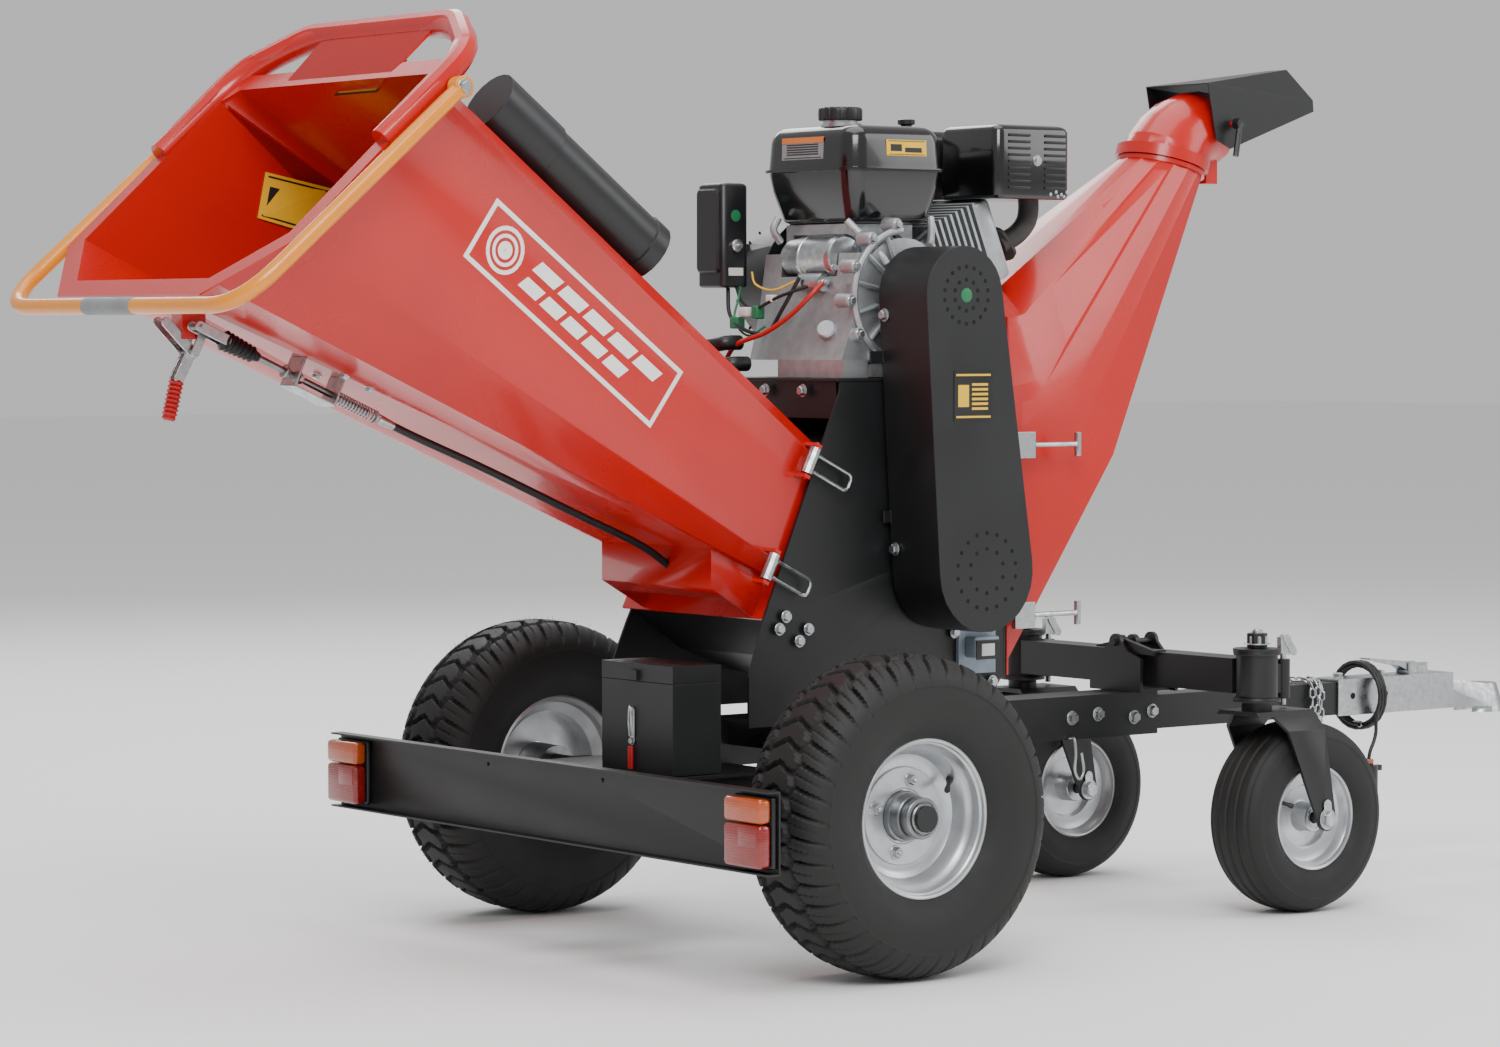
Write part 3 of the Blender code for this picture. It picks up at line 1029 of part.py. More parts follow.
# ---------------------------------------------------------------- chute
def chute():
    x0 = CHUTE_X
    z0, z1 = CHUTE_Z
    half = CHUTE_HALF
    swing = pivot("chute_swing_axis", (x0 + 0.004, half + 0.030, (z0 + z1) / 2))
    base = [(half, z0), (half, 0.5600), (half, 0.6700), (half, 0.7800), (half, 0.8900),
            (half, z1), (half * 0.45, z1), (0, z1)]
    foot_x = x0 + 0.002
    ring = [(foot_x, y, z) for y, z in base]
    ring += [(foot_x, -y, z) for y, z in reversed(base[:-1])] + [(foot_x, 0, z0)]
    waist_half = 0.150
    waist = [(0.7530, waist_half, 0.7910), (0.7300, waist_half, 0.8100), (0.6850, waist_half, 0.8450),
             (0.6400, waist_half, 0.8700), (0.5950, waist_half, 0.9050), (0.5700, 0.130, 1.0300),
             (0.5700, 0.070, 1.0780), (0.5700, 0.0, 1.0780)]
    middle = waist + [(x, -y, z) for x, y, z in reversed(waist[:-1])] + [(0.7530, 0, 0.7910)]
    neck = []
    count = len(middle)
    up = Vector((math.sin(NECK_TILT), 0, math.cos(NECK_TILT)))
    ahead = Vector((math.cos(NECK_TILT), 0, -math.sin(NECK_TILT)))
    centre = Vector((NECK[0], 0, NECK[1])) - up * 0.008
    for k in range(count):
        angle = -2 * math.pi * (k + 1) / count
        neck.append(tuple(centre + ahead * (NECK_R - 0.003) * math.cos(angle)
                          - Vector((0, 1, 0)) * (NECK_R - 0.003) * math.sin(angle)))
    skin = walled(loft([ring, middle, neck], closed=False), SHEET, 0)
    frame = block((x0, x0 + 0.004), (-half - 0.014, half + 0.026), (z0 - 0.012, z1 + 0.006))
    window = block((x0 - 0.01, x0 + 0.03), (-half + 0.004, half - 0.004), (z0 + 0.006, z1 - 0.006))
    flange = cut(frame, window)
    knuckle = rod(0.007, z0 + 0.03, z1 - 0.03, "z", (x0 + 0.004, half + 0.030), 12)
    collar = tube_ring(NECK_R + 0.003, NECK_R - 0.004, centre, up, 0.008)
    part(joined(skin, flange, knuckle, collar), "chute_shell", "red_paint", swing)
    elbow(centre, up, swing)
    chute_latches(swing)


def tube_ring(outer, inner, centre, up, length):
    made = turned([(inner, -length / 2), (outer, -length / 2), (outer, length / 2),
                   (inner, length / 2)], (0, 0, 0), "z", 24)
    made.matrix_world = Matrix.Translation(centre) @ up.to_track_quat("Z", "Y").to_matrix().to_4x4()
    return made


def elbow(neck_centre, up, swing):
    """A bent outlet that turns on the neck, with a hood hinged over its end."""
    turn = pivot("elbow_axis", (NECK[0], 0, NECK[1]), parent=swing)
    start = neck_centre + up * (0.004 + 2 * GAP)
    rings = []
    lift = math.radians(75)
    drop = math.radians(-5)
    steps = 6
    place = start.copy()
    run = 0.150
    for k in range(steps + 1):
        share = k / steps
        angle = lift + (drop - lift) * share
        radius = NECK_R + 0.001 - 0.015 * share
        along = Vector((math.cos(angle), 0, math.sin(angle)))
        across = Vector((math.sin(angle), 0, -math.cos(angle)))
        if k:
            place = place + along * run / steps
        rings.append([tuple(place + across * radius * math.cos(2 * math.pi * m / 16)
                            + Vector((0, 1, 0)) * radius * math.sin(2 * math.pi * m / 16))
                      for m in range(16)])
    pipe = walled(loft(rings, closed=False), SHEET, 0)
    collar = tube_ring(NECK_R + 0.008, NECK_R - 0.002, start + up * 0.010, up, 0.020)
    pins = rod(0.005, -HOOD_HALF - 0.006, HOOD_HALF + 0.006, "y", HOOD_PIVOT, 10)
    room = rod(0.02, -0.057, 0.057, "y", HOOD_PIVOT, 12)
    clamp_block = block((1.0840, 1.1110), (-0.030, -0.004), (1.2640, 1.3050))
    part(joined(pipe, collar, cut(pins, room), clamp_block), "chute_elbow", "red_paint", turn)
    hood(turn)


def hood(turn):
    hinge = pivot("hood_axis", (HOOD_PIVOT[0], 0, HOOD_PIVOT[1]), parent=turn)
    half = HOOD_HALF - 0.004
    back = [(1.0600, -half, 1.3400), (1.0400, -half, 1.4380), (1.0400, half, 1.4380), (1.0600, half, 1.3400)]
    thick = 0.0025

    def build(shape):
        low = [(1.0950, -half, 1.3240), (1.0950, half, 1.3240)]
        front = [(1.3000, -half, 1.3960), (1.2980, -half, 1.4160), (1.2850, -0.026, 1.4720),
                 (1.2850, 0.026, 1.4720), (1.2980, half, 1.4160), (1.3000, half, 1.3960)]
        b = [shape.verts.new(p) for p in back]
        lo = [shape.verts.new(p) for p in low]
        f = [shape.verts.new(p) for p in front]
        shape.faces.new((b[0], lo[0], f[0], f[1], b[1]))
        shape.faces.new((b[1], f[1], f[2]))
        shape.faces.new((b[1], f[2], f[3], b[2]))
        shape.faces.new((b[2], f[3], f[4]))
        shape.faces.new((b[2], f[4], f[5], lo[1], b[3]))

    skin = walled(mesh_object(build), thick, 0)
    eyes = rod(0.0056, -0.2, 0.2, "y", HOOD_PIVOT, 10)
    part(cut(skin, eyes), "chute_hood", "black_paint", hinge)
    grip_axis = pivot("hood_clamp_axis", (HOOD_PIVOT[0], -HOOD_HALF - 0.014, HOOD_PIVOT[1]),
                      parent=hinge)
    hub = rod(0.010, -HOOD_HALF - 0.022, -HOOD_HALF - 0.007, "y", HOOD_PIVOT, 12)
    lever = rod_between((HOOD_PIVOT[0], -HOOD_HALF - 0.018, HOOD_PIVOT[1]),
                        (HOOD_PIVOT[0] - 0.014, -HOOD_HALF - 0.022, HOOD_PIVOT[1] - 0.058), 0.0055, 8)
    part(joined(hub, lever), "hood_clamp", "black_plastic", grip_axis)


def chute_latches(swing):
    """Two pull latches with cross handles on the belt side of the chute flange."""
    for name, z in (("upper", 0.8120), ("lower", 0.5270)):
        y = -CHUTE_HALF - 0.0155
        hinge = pivot(f"chute_latch_{name}_axis", (CHUTE_X + 0.014, y - 0.0065, z), parent=swing)
        base = block((CHUTE_X + 0.008, CHUTE_X + 0.052), (y - 0.012, y - 0.0012), (z - 0.022, z + 0.022))
        stem = rod(0.0045, CHUTE_X + 0.050, CHUTE_X + 0.150, "x", (y - 0.007, z), 8)
        grip = rod(0.006, z - 0.020, z + 0.020, "z", (CHUTE_X + 0.150, y - 0.007), 10)
        part(joined(base, stem, grip), f"chute_latch_{name}", "zinc", hinge)


# ---------------------------------------------------------------- cable, chain
def lead():
    """The lamp lead: a coil held round the coupler, a drop and a round plug."""
    ring_x = 1.5050
    ring = turned([(0.0510, -0.012), (0.0655, -0.012), (0.0655, 0.012), (0.0510, 0.012)],
                  (ring_x, 0, 0.3300), "x", 24)
    part(ring, "lead_coil", "cable_jacket")
    drop = bent([(ring_x, -0.0500, 0.2760), (1.4980, -0.0520, 0.2600), (1.4890, -0.0535, 0.2440),
                 (1.4800, -0.0540, 0.2300), (1.4760, -0.0540, 0.2160)], 0.0035, 2)
    part(drop, "lead_drop", "cable_jacket")
    body = rod(0.018, 0.1360, 0.2050, "z", (1.4760, -0.0540), 16)
    wings = block((1.4460, 1.5060), (-0.060, -0.048), (0.1950, 0.2050))
    neck = rod(0.010, 0.2040, 0.2150, "z", (1.4760, -0.0540), 12)
    part(joined(body, wings, neck), "lead_plug", "black_plastic")


def safety_chain():
    """A folded bundle of chain hung over the drawbar, as a run of alternating links."""
    middle = [(1.3420, -0.0400, 0.3700), (1.3420, -0.0400, 0.3500), (1.3440, -0.0410, 0.3300),
              (1.3460, -0.0420, 0.3100), (1.3480, -0.0420, 0.2900), (1.3500, -0.0420, 0.2700)]
    hang = bent([(1.3420, 0.0, 0.3660), (1.3420, -0.0200, 0.3660), *middle, (1.3500, -0.0420, 0.2450)],
                0.0048, 1)
    hook = bent(rounded([(1.3500, -0.0420, 0.2500), (1.3500, -0.0420, 0.2050), (1.3720, -0.0420, 0.2050),
                         (1.3720, -0.0420, 0.2300)], 0.010, 3), 0.0050, 1)
    part(joined(hang, hook), "safety_chain", "zinc")


chassis()
rear_axle()
rear_wheels()
side_plates()
engine_deck()
light_bar()
battery_box()
drawbar()
coupler()
caster_saddle()
casters()
hopper()
rotor_housing()
rotor()
drive()
belt_guard()
meter_box()
engine()
chute()
lead()
safety_chain()
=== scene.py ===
# A towable wood chipper with a petrol engine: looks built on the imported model.
import json
import math

import bmesh
import bpy
import numpy as np
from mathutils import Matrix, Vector
from mathutils.bvhtree import BVHTree


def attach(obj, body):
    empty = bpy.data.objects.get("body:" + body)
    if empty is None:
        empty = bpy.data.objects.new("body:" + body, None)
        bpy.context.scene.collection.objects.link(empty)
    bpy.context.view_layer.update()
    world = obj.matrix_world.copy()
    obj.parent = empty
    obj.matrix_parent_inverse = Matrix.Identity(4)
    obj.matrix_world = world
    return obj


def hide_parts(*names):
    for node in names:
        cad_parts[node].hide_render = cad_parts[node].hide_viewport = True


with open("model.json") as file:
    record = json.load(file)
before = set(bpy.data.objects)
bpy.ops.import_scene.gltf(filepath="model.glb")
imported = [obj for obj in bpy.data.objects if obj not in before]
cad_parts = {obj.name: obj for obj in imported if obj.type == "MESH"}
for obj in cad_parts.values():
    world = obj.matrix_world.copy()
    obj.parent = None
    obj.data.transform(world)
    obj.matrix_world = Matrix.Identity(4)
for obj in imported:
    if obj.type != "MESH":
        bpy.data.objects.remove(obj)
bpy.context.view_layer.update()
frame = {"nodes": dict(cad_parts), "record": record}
axleX = -0.385  # the rear axle, from which positions along the machine are given
tau = 2 * math.pi
sides = (("left", 1), ("right", -1))

# camera and studio
viewpoint = {"place": (-4.6179, -5.6513, 1.0), "yaw": 52.604, "pitch": -2.532, "lens": 103.7}
camera = bpy.data.objects.new("camera", bpy.data.cameras.new("camera"))
camera.data.lens = viewpoint["lens"]
camera.data.sensor_width = 36
yaw, pitch = math.radians(viewpoint["yaw"]), math.radians(viewpoint["pitch"])
ahead = Vector((math.cos(pitch) * math.cos(yaw), math.cos(pitch) * math.sin(yaw), math.sin(pitch)))
camera.rotation_euler = ahead.to_track_quat("-Z", "Y").to_euler()
camera.location = viewpoint["place"]
bpy.context.collection.objects.link(camera)
bpy.context.scene.camera = camera
print("camera set")


# the finishes: each is one function


def toLinear(hexColour):
    # sRGB to linear: c / 12.92 near black, else ((c + 0.055) / 1.055) ^ 2.4
    c = np.array([int(hexColour[i:i + 2], 16) / 255 for i in (1, 3, 5)])
    c = np.where(c < 0.04045, c / 12.92, ((c + 0.055) / 1.055) ** 2.4)
    return (*c.tolist(), 1.0)


def addNode(tree, kind, settings=None, links=None):
    node = tree.nodes.new(kind)
    for key, value in (settings or {}).items():
        if isinstance(key, str) and hasattr(node, key):
            setattr(node, key, value)
        else:
            node.inputs[key].default_value = value
    for key, socket in (links or {}).items():
        tree.links.new(socket, node.inputs[key])
    return node


def newMaterial(name, colour, rough, metallic=0.0, **shader):
    material = bpy.data.materials.new(name)
    material.use_nodes = True
    tree = material.node_tree
    body = tree.nodes["Principled BSDF"]
    body.inputs["Base Color"].default_value = toLinear(colour)
    body.inputs["Roughness"].default_value = rough
    body.inputs["Metallic"].default_value = metallic
    for key, value in shader.items():
        body.inputs[key.replace("_", " ")].default_value = value
    material.diffuse_color = toLinear(colour)
    return material, tree, body


def mottle(tree, body, first, second, sizeMm, swing=0.5):
    # two close tones blended by a soft noise of the given size
    place = addNode(tree, "ShaderNodeTexCoord")
    noise = addNode(tree, "ShaderNodeTexNoise", {"Scale": 1000 / sizeMm, "Detail": 3.0, "Roughness": 0.6},
        {"Vector": place.outputs["Object"]})
    spread = addNode(tree, "ShaderNodeMapRange", {"From Min": 0.5 - swing / 2, "From Max": 0.5 + swing / 2},
        {"Value": noise.outputs["Fac"]})
    mix = addNode(tree, "ShaderNodeMix", {"data_type": "RGBA", 6: toLinear(first), 7: toLinear(second)},
        {0: spread.outputs["Result"]})
    tree.links.new(mix.outputs[2], body.inputs["Base Color"])
    return place, spread


def grain(tree, body, place, sizeMm, depthMm):
    # a fine relief; the bump distance is the real depth
    noise = addNode(tree, "ShaderNodeTexNoise", {"Scale": 1000 / sizeMm},
        {"Vector": place.outputs["Object"]})
    bump = addNode(tree, "ShaderNodeBump", {"Strength": 1.0, "Distance": depthMm / 1000},
        {"Height": noise.outputs["Fac"]})
    tree.links.new(bump.outputs["Normal"], body.inputs["Normal"])


def roughSwing(tree, body, fac, low, high):
    span = addNode(tree, "ShaderNodeMapRange", {"To Min": low, "To Max": high},
        {"Value": fac.outputs["Result"]})
    tree.links.new(span.outputs["Result"], body.inputs["Roughness"])


def surface(name, colour, rough, metallic, patches, gloss, relief, **shader):
    # patches: two tones, their size in mm (and swing); gloss: roughness range; relief: grain and depth in mm
    material, tree, body = newMaterial(name, colour, rough, metallic, **shader)
    place, spread = mottle(tree, body, *patches)
    roughSwing(tree, body, spread, *gloss)
    grain(tree, body, place, *relief)
    return material


def redPowderCoat():
    # polyester powder coat, high gloss: a clear skin with a slight orange peel of 3 mm
    return surface("redPowderCoat", "#BE0C04", 0.3, 0.0, ("#C20E05", "#B40A03", 260), (0.24, 0.32),
        (3.2, 0.02), Coat_Weight=0.3, Coat_Roughness=0.08)


def blackPowderCoat():
    # fine-texture powder coat: satin, with a leathery grain drawn at 1.4 mm so that it shows
    return surface("blackPowderCoat", "#101113", 0.42, 0.0, ("#0E0F10", "#17181A", 180), (0.36, 0.5),
        (1.4, 0.03))


def yellowPowderCoat():
    # gloss powder coat on tube
    return surface("yellowPowderCoat", "#F0A31C", 0.3, 0.0, ("#E88C00", "#DA8000", 120), (0.28, 0.36),
        (3.0, 0.02), Coat_Weight=0.4, Coat_Roughness=0.08)


def glossEnamel():
    # stoved black enamel on pressed steel: deep gloss with a faint orange peel
    return surface("glossEnamel", "#0C0C0D", 0.16, 0.0, ("#0B0B0C", "#121213", 120), (0.13, 0.22),
        (4.0, 0.02), Coat_Weight=0.5, Coat_Roughness=0.05)


def silverRimPaint():
    # aluminium-flake wheel paint: soft metallic sparkle of 0.8 mm flakes
    return surface("silverRimPaint", "#C9CBCD", 0.34, 0.85, ("#CDD0D2", "#B9BBBE", 40), (0.28, 0.4),
        (0.8, 0.01))


def zincPlate():
    # bright zinc on steel: cloudy spangle of 12 mm
    return surface("zincPlate", "#BFC2C4", 0.3, 1.0, ("#C8CBCC", "#A9ADB0", 12, 0.4), (0.24, 0.42),
        (1.2, 0.01))


def machinedSteel():
    # turned steel with a thin oil film
    return surface("machinedSteel", "#8C8E90", 0.32, 1.0, ("#96989A", "#77797B", 30), (0.26, 0.45),
        (0.9, 0.01))


def castAluminium():
    # die-cast aluminium: a matt skin with 1.5 mm sand-like grain
    return surface("castAluminium", "#B9BCBE", 0.48, 0.9, ("#BFC2C4", "#A3A6A9", 25), (0.4, 0.6),
        (1.5, 0.06))


def blackPlastic():
    # moulded polypropylene: fine spark-eroded texture, drawn at 1.2 mm
    return surface("blackPlastic", "#121315", 0.36, 0.0, ("#101113", "#1B1C1F", 90), (0.3, 0.44),
        (1.2, 0.02))


def tyreRubber():
    # vulcanised rubber: matt with a dusty bloom in patches of 60 mm
    return surface("tyreRubber", "#0F0F0F", 0.66, 0.0, ("#0C0C0C", "#191918", 60, 0.7), (0.55, 0.78),
        (2.0, 0.08))


def softRubber(name, colour, second, rough=0.55):
    # moulded elastomer with a faint 2 mm grain
    return surface(name, colour, rough, 0.0, (colour, second, 35), (rough - 0.08, rough + 0.1), (2.0, 0.03))


def lampLens(name, colour, second):
    # injection-moulded acrylic over a prism sheet: 4 mm ribs under a smooth face
    material, tree, body = newMaterial(name, colour, 0.12, Coat_Weight=0.8, Coat_Roughness=0.04,
        Transmission_Weight=0.25)
    place = mottle(tree, body, colour, second, 14)[0]
    wave = addNode(tree, "ShaderNodeTexWave", {"Scale": 80.0, "bands_direction": "Z"},
        {"Vector": place.outputs["Object"]})
    bump = addNode(tree, "ShaderNodeBump", {"Strength": 0.5, "Distance": 0.0004},
        {"Height": wave.outputs["Fac"]})
    tree.links.new(bump.outputs["Normal"], body.inputs["Normal"])
    return material


look = {"red": redPowderCoat(), "black": blackPowderCoat(), "yellow": yellowPowderCoat(),
    "silver": silverRimPaint(), "zinc": zincPlate(), "steel": machinedSteel(), "alu": castAluminium(),
    "plastic": blackPlastic(), "tyre": tyreRubber(),
    "belt": softRubber("beltRubber", "#1E1E1E", "#2A2A2A", 0.7),
    "grip": softRubber("redGripRubber", "#B8161C", "#A01016", 0.42),
    "cable": softRubber("cableJacket", "#141416", "#1D1D20", 0.45),
    "redWire": softRubber("redWire", "#C02018", "#A81A14", 0.4),
    "amber": lampLens("amberLens", "#C9571B", "#B84A14"),
    "redLens": lampLens("redLens", "#9E1712", "#86100D"),
    "meter": softRubber("meterCase", "#8E9AA8", "#7C8896", 0.4),
    "green": softRubber("greenPlastic", "#1F7A4C", "#17663E", 0.4),
    "paper": softRubber("paleLabel", "#D9D9D4", "#CFCFCA", 0.5),
    "signYellow": softRubber("yellowLabel", "#E6B820", "#DCAE1A", 0.4),
    "greyTape": softRubber("greyTape", "#8A8C8E", "#7A7C7E", 0.6),
    "white": softRubber("whitePaint", "#F4F3F0", "#EAE8E4", 0.38),
    "amberLabel": softRubber("orangeLabel", "#D2783A", "#C66E30", 0.45),
    # the near-black hole material is painted shade: flat discs of it stand for the dark inside of vent and
    # coupler holes
    "holeShade": softRubber("holeShadePaint", "#020202", "#050505", 0.9),
    "castIron": softRubber("sootedCastIron", "#3A3633", "#2C2927", 0.6), "gloss": glossEnamel()}
print("materials made")


# the shapes that the pieces are made from


def makeMesh(name, vertices, faces, material, body, sharp=35):
    # points are given from the rear axle's place on the ground
    mesh = bpy.data.meshes.new(name)
    vertices = np.asarray(vertices, dtype=np.float64).reshape(-1, 3) + (axleX, 0, 0)
    faces = [np.asarray(group).reshape(-1, np.asarray(group).shape[-1])
        for group in (faces if isinstance(faces, list) else [faces])]
    mesh.vertices.add(len(vertices))
    mesh.vertices.foreach_set("co", vertices.ravel())
    sizes = np.concatenate([np.full(len(group), group.shape[1]) for group in faces])
    loops = np.concatenate([group.ravel() for group in faces])
    starts = np.concatenate([[0], np.cumsum(sizes)[:-1]])
    mesh.loops.add(len(loops))
    mesh.loops.foreach_set("vertex_index", loops)
    mesh.polygons.add(len(sizes))
    mesh.polygons.foreach_set("loop_start", starts)
    mesh.update(calc_edges=True)
    mesh.validate()
    mesh.shade_smooth()
    mesh.set_sharp_from_angle(angle=math.radians(sharp))
    mesh.materials.append(look[material])
    made = bpy.data.objects.new(name, mesh)
    bpy.context.collection.objects.link(made)
    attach(made, body)
    return made


def quadGrid(rows, columns, wrapRows, wrapColumns):
    # indices of the four corners of every cell of a grid, row by row
    r = np.arange(rows if wrapRows else rows - 1)
    c = np.arange(columns if wrapColumns else columns - 1)
    r, c = np.meshgrid(r, c, indexing="ij")
    nextR, nextC = (r + 1) % rows, (c + 1) % columns
    return np.stack([r * columns + c, r * columns + nextC, nextR * columns + nextC, nextR * columns + c],
        axis=-1).reshape(-1, 4)


def ringed(name, profile, centre, material, body, steps=96, axis="y", sharp=35, wobble=None):
    # a closed profile of (radius, along) points turned about an axis: (r cos a, along, r sin a)
    profile = np.asarray(profile, dtype=float)
    angle = np.arange(steps) * tau / steps
    radius = np.repeat(profile[None, :, 0], steps, 0)
    along = np.repeat(profile[None, :, 1], steps, 0)
    if wobble is not None:
        radius = radius + wobble(angle[:, None], profile[None, :, 1], radius)
    c, s = np.cos(angle)[:, None], np.sin(angle)[:, None]
    order = {"x": (along, radius * c, radius * s), "y": (radius * s, along, radius * c),
        "z": (radius * c, radius * s, along)}[axis]
    points = np.stack(order, axis=-1) + np.asarray(centre)
    return makeMesh(name, points, quadGrid(steps, len(profile), True, True), material, body, sharp)


def spline(points, per=8, closed=False):
    # Catmull-Rom through the points: each stretch is a cubic of its four neighbours
    p = np.asarray(points, dtype=float)
    if closed:
        p = np.vstack([p[-1:], p, p[:2]])
    else:
        p = np.vstack([2 * p[:1] - p[1:2], p, 2 * p[-1:] - p[-2:-1]])
    t = np.linspace(0, 1, per, endpoint=False)[None, :, None]
    a, b, c, d = p[:-3, None], p[1:-2, None], p[2:-1, None], p[3:, None]
    curve = 0.5 * (2 * b + (c - a) * t + (2 * a - 5 * b + 4 * c - d) * t ** 2
        + (3 * b - a - 3 * c + d) * t ** 3)
    curve = curve.reshape(-1, p.shape[1])
    return curve if closed else np.vstack([curve, p[-2]])


def cornered(corners, radius, steps=8):
    # a polyline whose corners are quadratic arcs that start one radius before each corner
    p = np.asarray(corners, dtype=float)
    path = [p[0]]
    t = np.linspace(0, 1, steps)[:, None]
    for before, here, after in zip(p[:-2], p[1:-1], p[2:]):
        inward, onward = before - here, after - here
        a = here + inward / np.linalg.norm(inward) * min(radius, np.linalg.norm(inward) * 0.49)
        b = here + onward / np.linalg.norm(onward) * min(radius, np.linalg.norm(onward) * 0.49)
        path.extend((1 - t) ** 2 * a + 2 * t * (1 - t) * here + t ** 2 * b)
    path.append(p[-1])
    return np.array(path)


def sweep(path, radius, sides=16, closed=False):
    # circles carried along a path on frames that turn as little as they can; radius may vary
    p = np.asarray(path, dtype=float)
    n = len(p)
    ahead = np.roll(p, -1, 0) - np.roll(p, 1, 0) if closed else np.gradient(p, axis=0)
    ahead /= np.linalg.norm(ahead, axis=1)[:, None]
    side = np.cross(ahead[0], (0, 0, 1.0))
    if np.linalg.norm(side) < 0.1:
        side = np.cross(ahead[0], (0, 1.0, 0))
    frames = []
    for k in range(n):
        side = side - ahead[k] * side.dot(ahead[k])
        side = side / np.linalg.norm(side)
        frames.append(side)
    side = np.array(frames)
    up = np.cross(ahead, side)
    angle = np.arange(sides) * tau / sides
    r = np.broadcast_to(np.asarray(radius, dtype=float), (n,))[:, None, None]
    rings = p[:, None] + r * (np.cos(angle)[None, :, None] * side[:, None]
        + np.sin(angle)[None, :, None] * up[:, None])
    faces = [quadGrid(n, sides, closed, True)[:, ::-1]]
    vertices = rings.reshape(-1, 3)
    if not closed:
        faces += [np.arange(sides)[None, :], (np.arange(sides) + (n - 1) * sides)[None, ::-1]]
    return vertices, faces


def tube(name, path, radius, material, body, sides=20, closed=False):
    vertices, faces = sweep(path, radius, sides, closed)
    return makeMesh(name, vertices, faces, material, body, 50)


def together(name, shapes, material, body, sharp=35):
    # several vertex and face lists as one mesh
    vertices, faces, base = [], [], 0
    for points, groups in shapes:
        points = np.asarray(points, dtype=float).reshape(-1, 3)
        groups = groups if isinstance(groups, list) else [groups]
        vertices.append(points)
        faces += [np.asarray(group) + base for group in groups]
        base += len(points)
    merged = {}
    for group in faces:
        merged.setdefault(group.shape[-1], []).append(group.reshape(-1, group.shape[-1]))
    return makeMesh(name, np.vstack(vertices), [np.vstack(group) for group in merged.values()], material,
        body, sharp)


def unitTo(axis):
    # a rotation whose third column is the axis
    z = np.asarray(axis, dtype=float)
    z = z / np.linalg.norm(z)
    x = np.cross((0, 1, 0), z) if abs(z[1]) < 0.9 else np.cross((1, 0, 0), z)
    x = x / np.linalg.norm(x)
    return np.stack([x, np.cross(z, x), z], axis=1)


def turnedShape(profile, centre, axis, steps=24):
    # (radius, along) points from the axis out and back, turned about any axis
    profile = np.asarray(profile, dtype=float)
    angle = np.arange(steps) * tau / steps
    local = np.stack([profile[None, :, 0] * np.cos(angle)[:, None],
            profile[None, :, 0] * np.sin(angle)[:, None], np.repeat(profile[None, :, 1], steps, 0)], axis=-1)
    points = local @ unitTo(axis).T + np.asarray(centre)
    count = len(profile)
    faces = [quadGrid(steps, count, True, True)[:, ::-1]]
    return points.reshape(-1, 3), faces


def hexBolt(centre, axis, across=0.013, high=0.006):
    # a six-sided head with a chamfered crown, over a round washer
    r = across / math.sqrt(3)
    rings = [(r, 0.0), (r, high * 0.8), (r * 0.86, high)]
    frameTurn = unitTo(axis)
    angle = np.arange(6) * tau / 6
    base = 0.0015
    levels = [np.stack([a * np.cos(angle), a * np.sin(angle), np.full(6, h + base)], -1) for a, h in rings]
    points = np.vstack(levels)
    faces = [quadGrid(3, 6, False, True), np.array([[12, 13, 14, 15, 16, 17]]),
        np.array([[5, 4, 3, 2, 1, 0]])]
    w = across * 0.78
    washer = turnedShape([(0.0001, 0), (w, 0), (w, 0.0012), (w - 0.0005, 0.0016), (0.0001, 0.0016)], centre,
        axis, 20)
    return [(points @ frameTurn.T + np.asarray(centre), faces), washer]


def plug(profile, centre, axis, steps=24):
    # a solid turning: the outline's two ends are closed to the axis
    ends = (0.0001, profile[0][1]), (0.0001, profile[-1][1])
    return turnedShape([ends[0], *profile, ends[1]], centre, axis, steps)


def turned(name, profile, centre, axis, material, body, steps=24, sharp=35):
    return together(name, [plug(profile, centre, axis, steps)], material, body, sharp)


def slab(low, high, bevel=0.002):
    # a box with chamfered edges: 24 corner points pulled in from each face
    low, high = np.asarray(low, dtype=float), np.asarray(high, dtype=float)
    mid, half = (low + high) / 2, (high - low) / 2
    b = min(bevel, float(half.min()) * 0.9)
    mesh = bmesh.new()
    bmesh.ops.create_cube(mesh, size=2)
    for v in mesh.verts:
        v.co = Vector((v.co.x * half[0], v.co.y * half[1], v.co.z * half[2]))
    bmesh.ops.bevel(mesh, geom=mesh.edges[:], offset=b, segments=3, profile=0.5, affect="EDGES")
    bmesh.ops.triangulate(mesh, faces=mesh.faces)
    mesh.verts.index_update()
    points = np.array([v.co[:] for v in mesh.verts])
    faces = np.array([[v.index for v in f.verts] for f in mesh.faces])
    mesh.free()
    return points + mid, faces


def throat(y, up, out=0.0):
    # a point on the slanted plane where the hopper meets the drum
    lean = math.radians(63.5)
    return (-0.0205 + up * math.cos(lean) - out * math.sin(lean), y, 0.5388 + up * math.sin(lean)
        + out * math.cos(lean))


def mouth(y, up, out=0.0):
    # a point on the slanted plane of the feed mouth
    lean = math.radians(42.2)
    return (-1.0745 + up * math.cos(lean) - out * math.sin(lean), y, 1.054 + up * math.sin(lean)
        + out * math.cos(lean))


# carried-over nodes


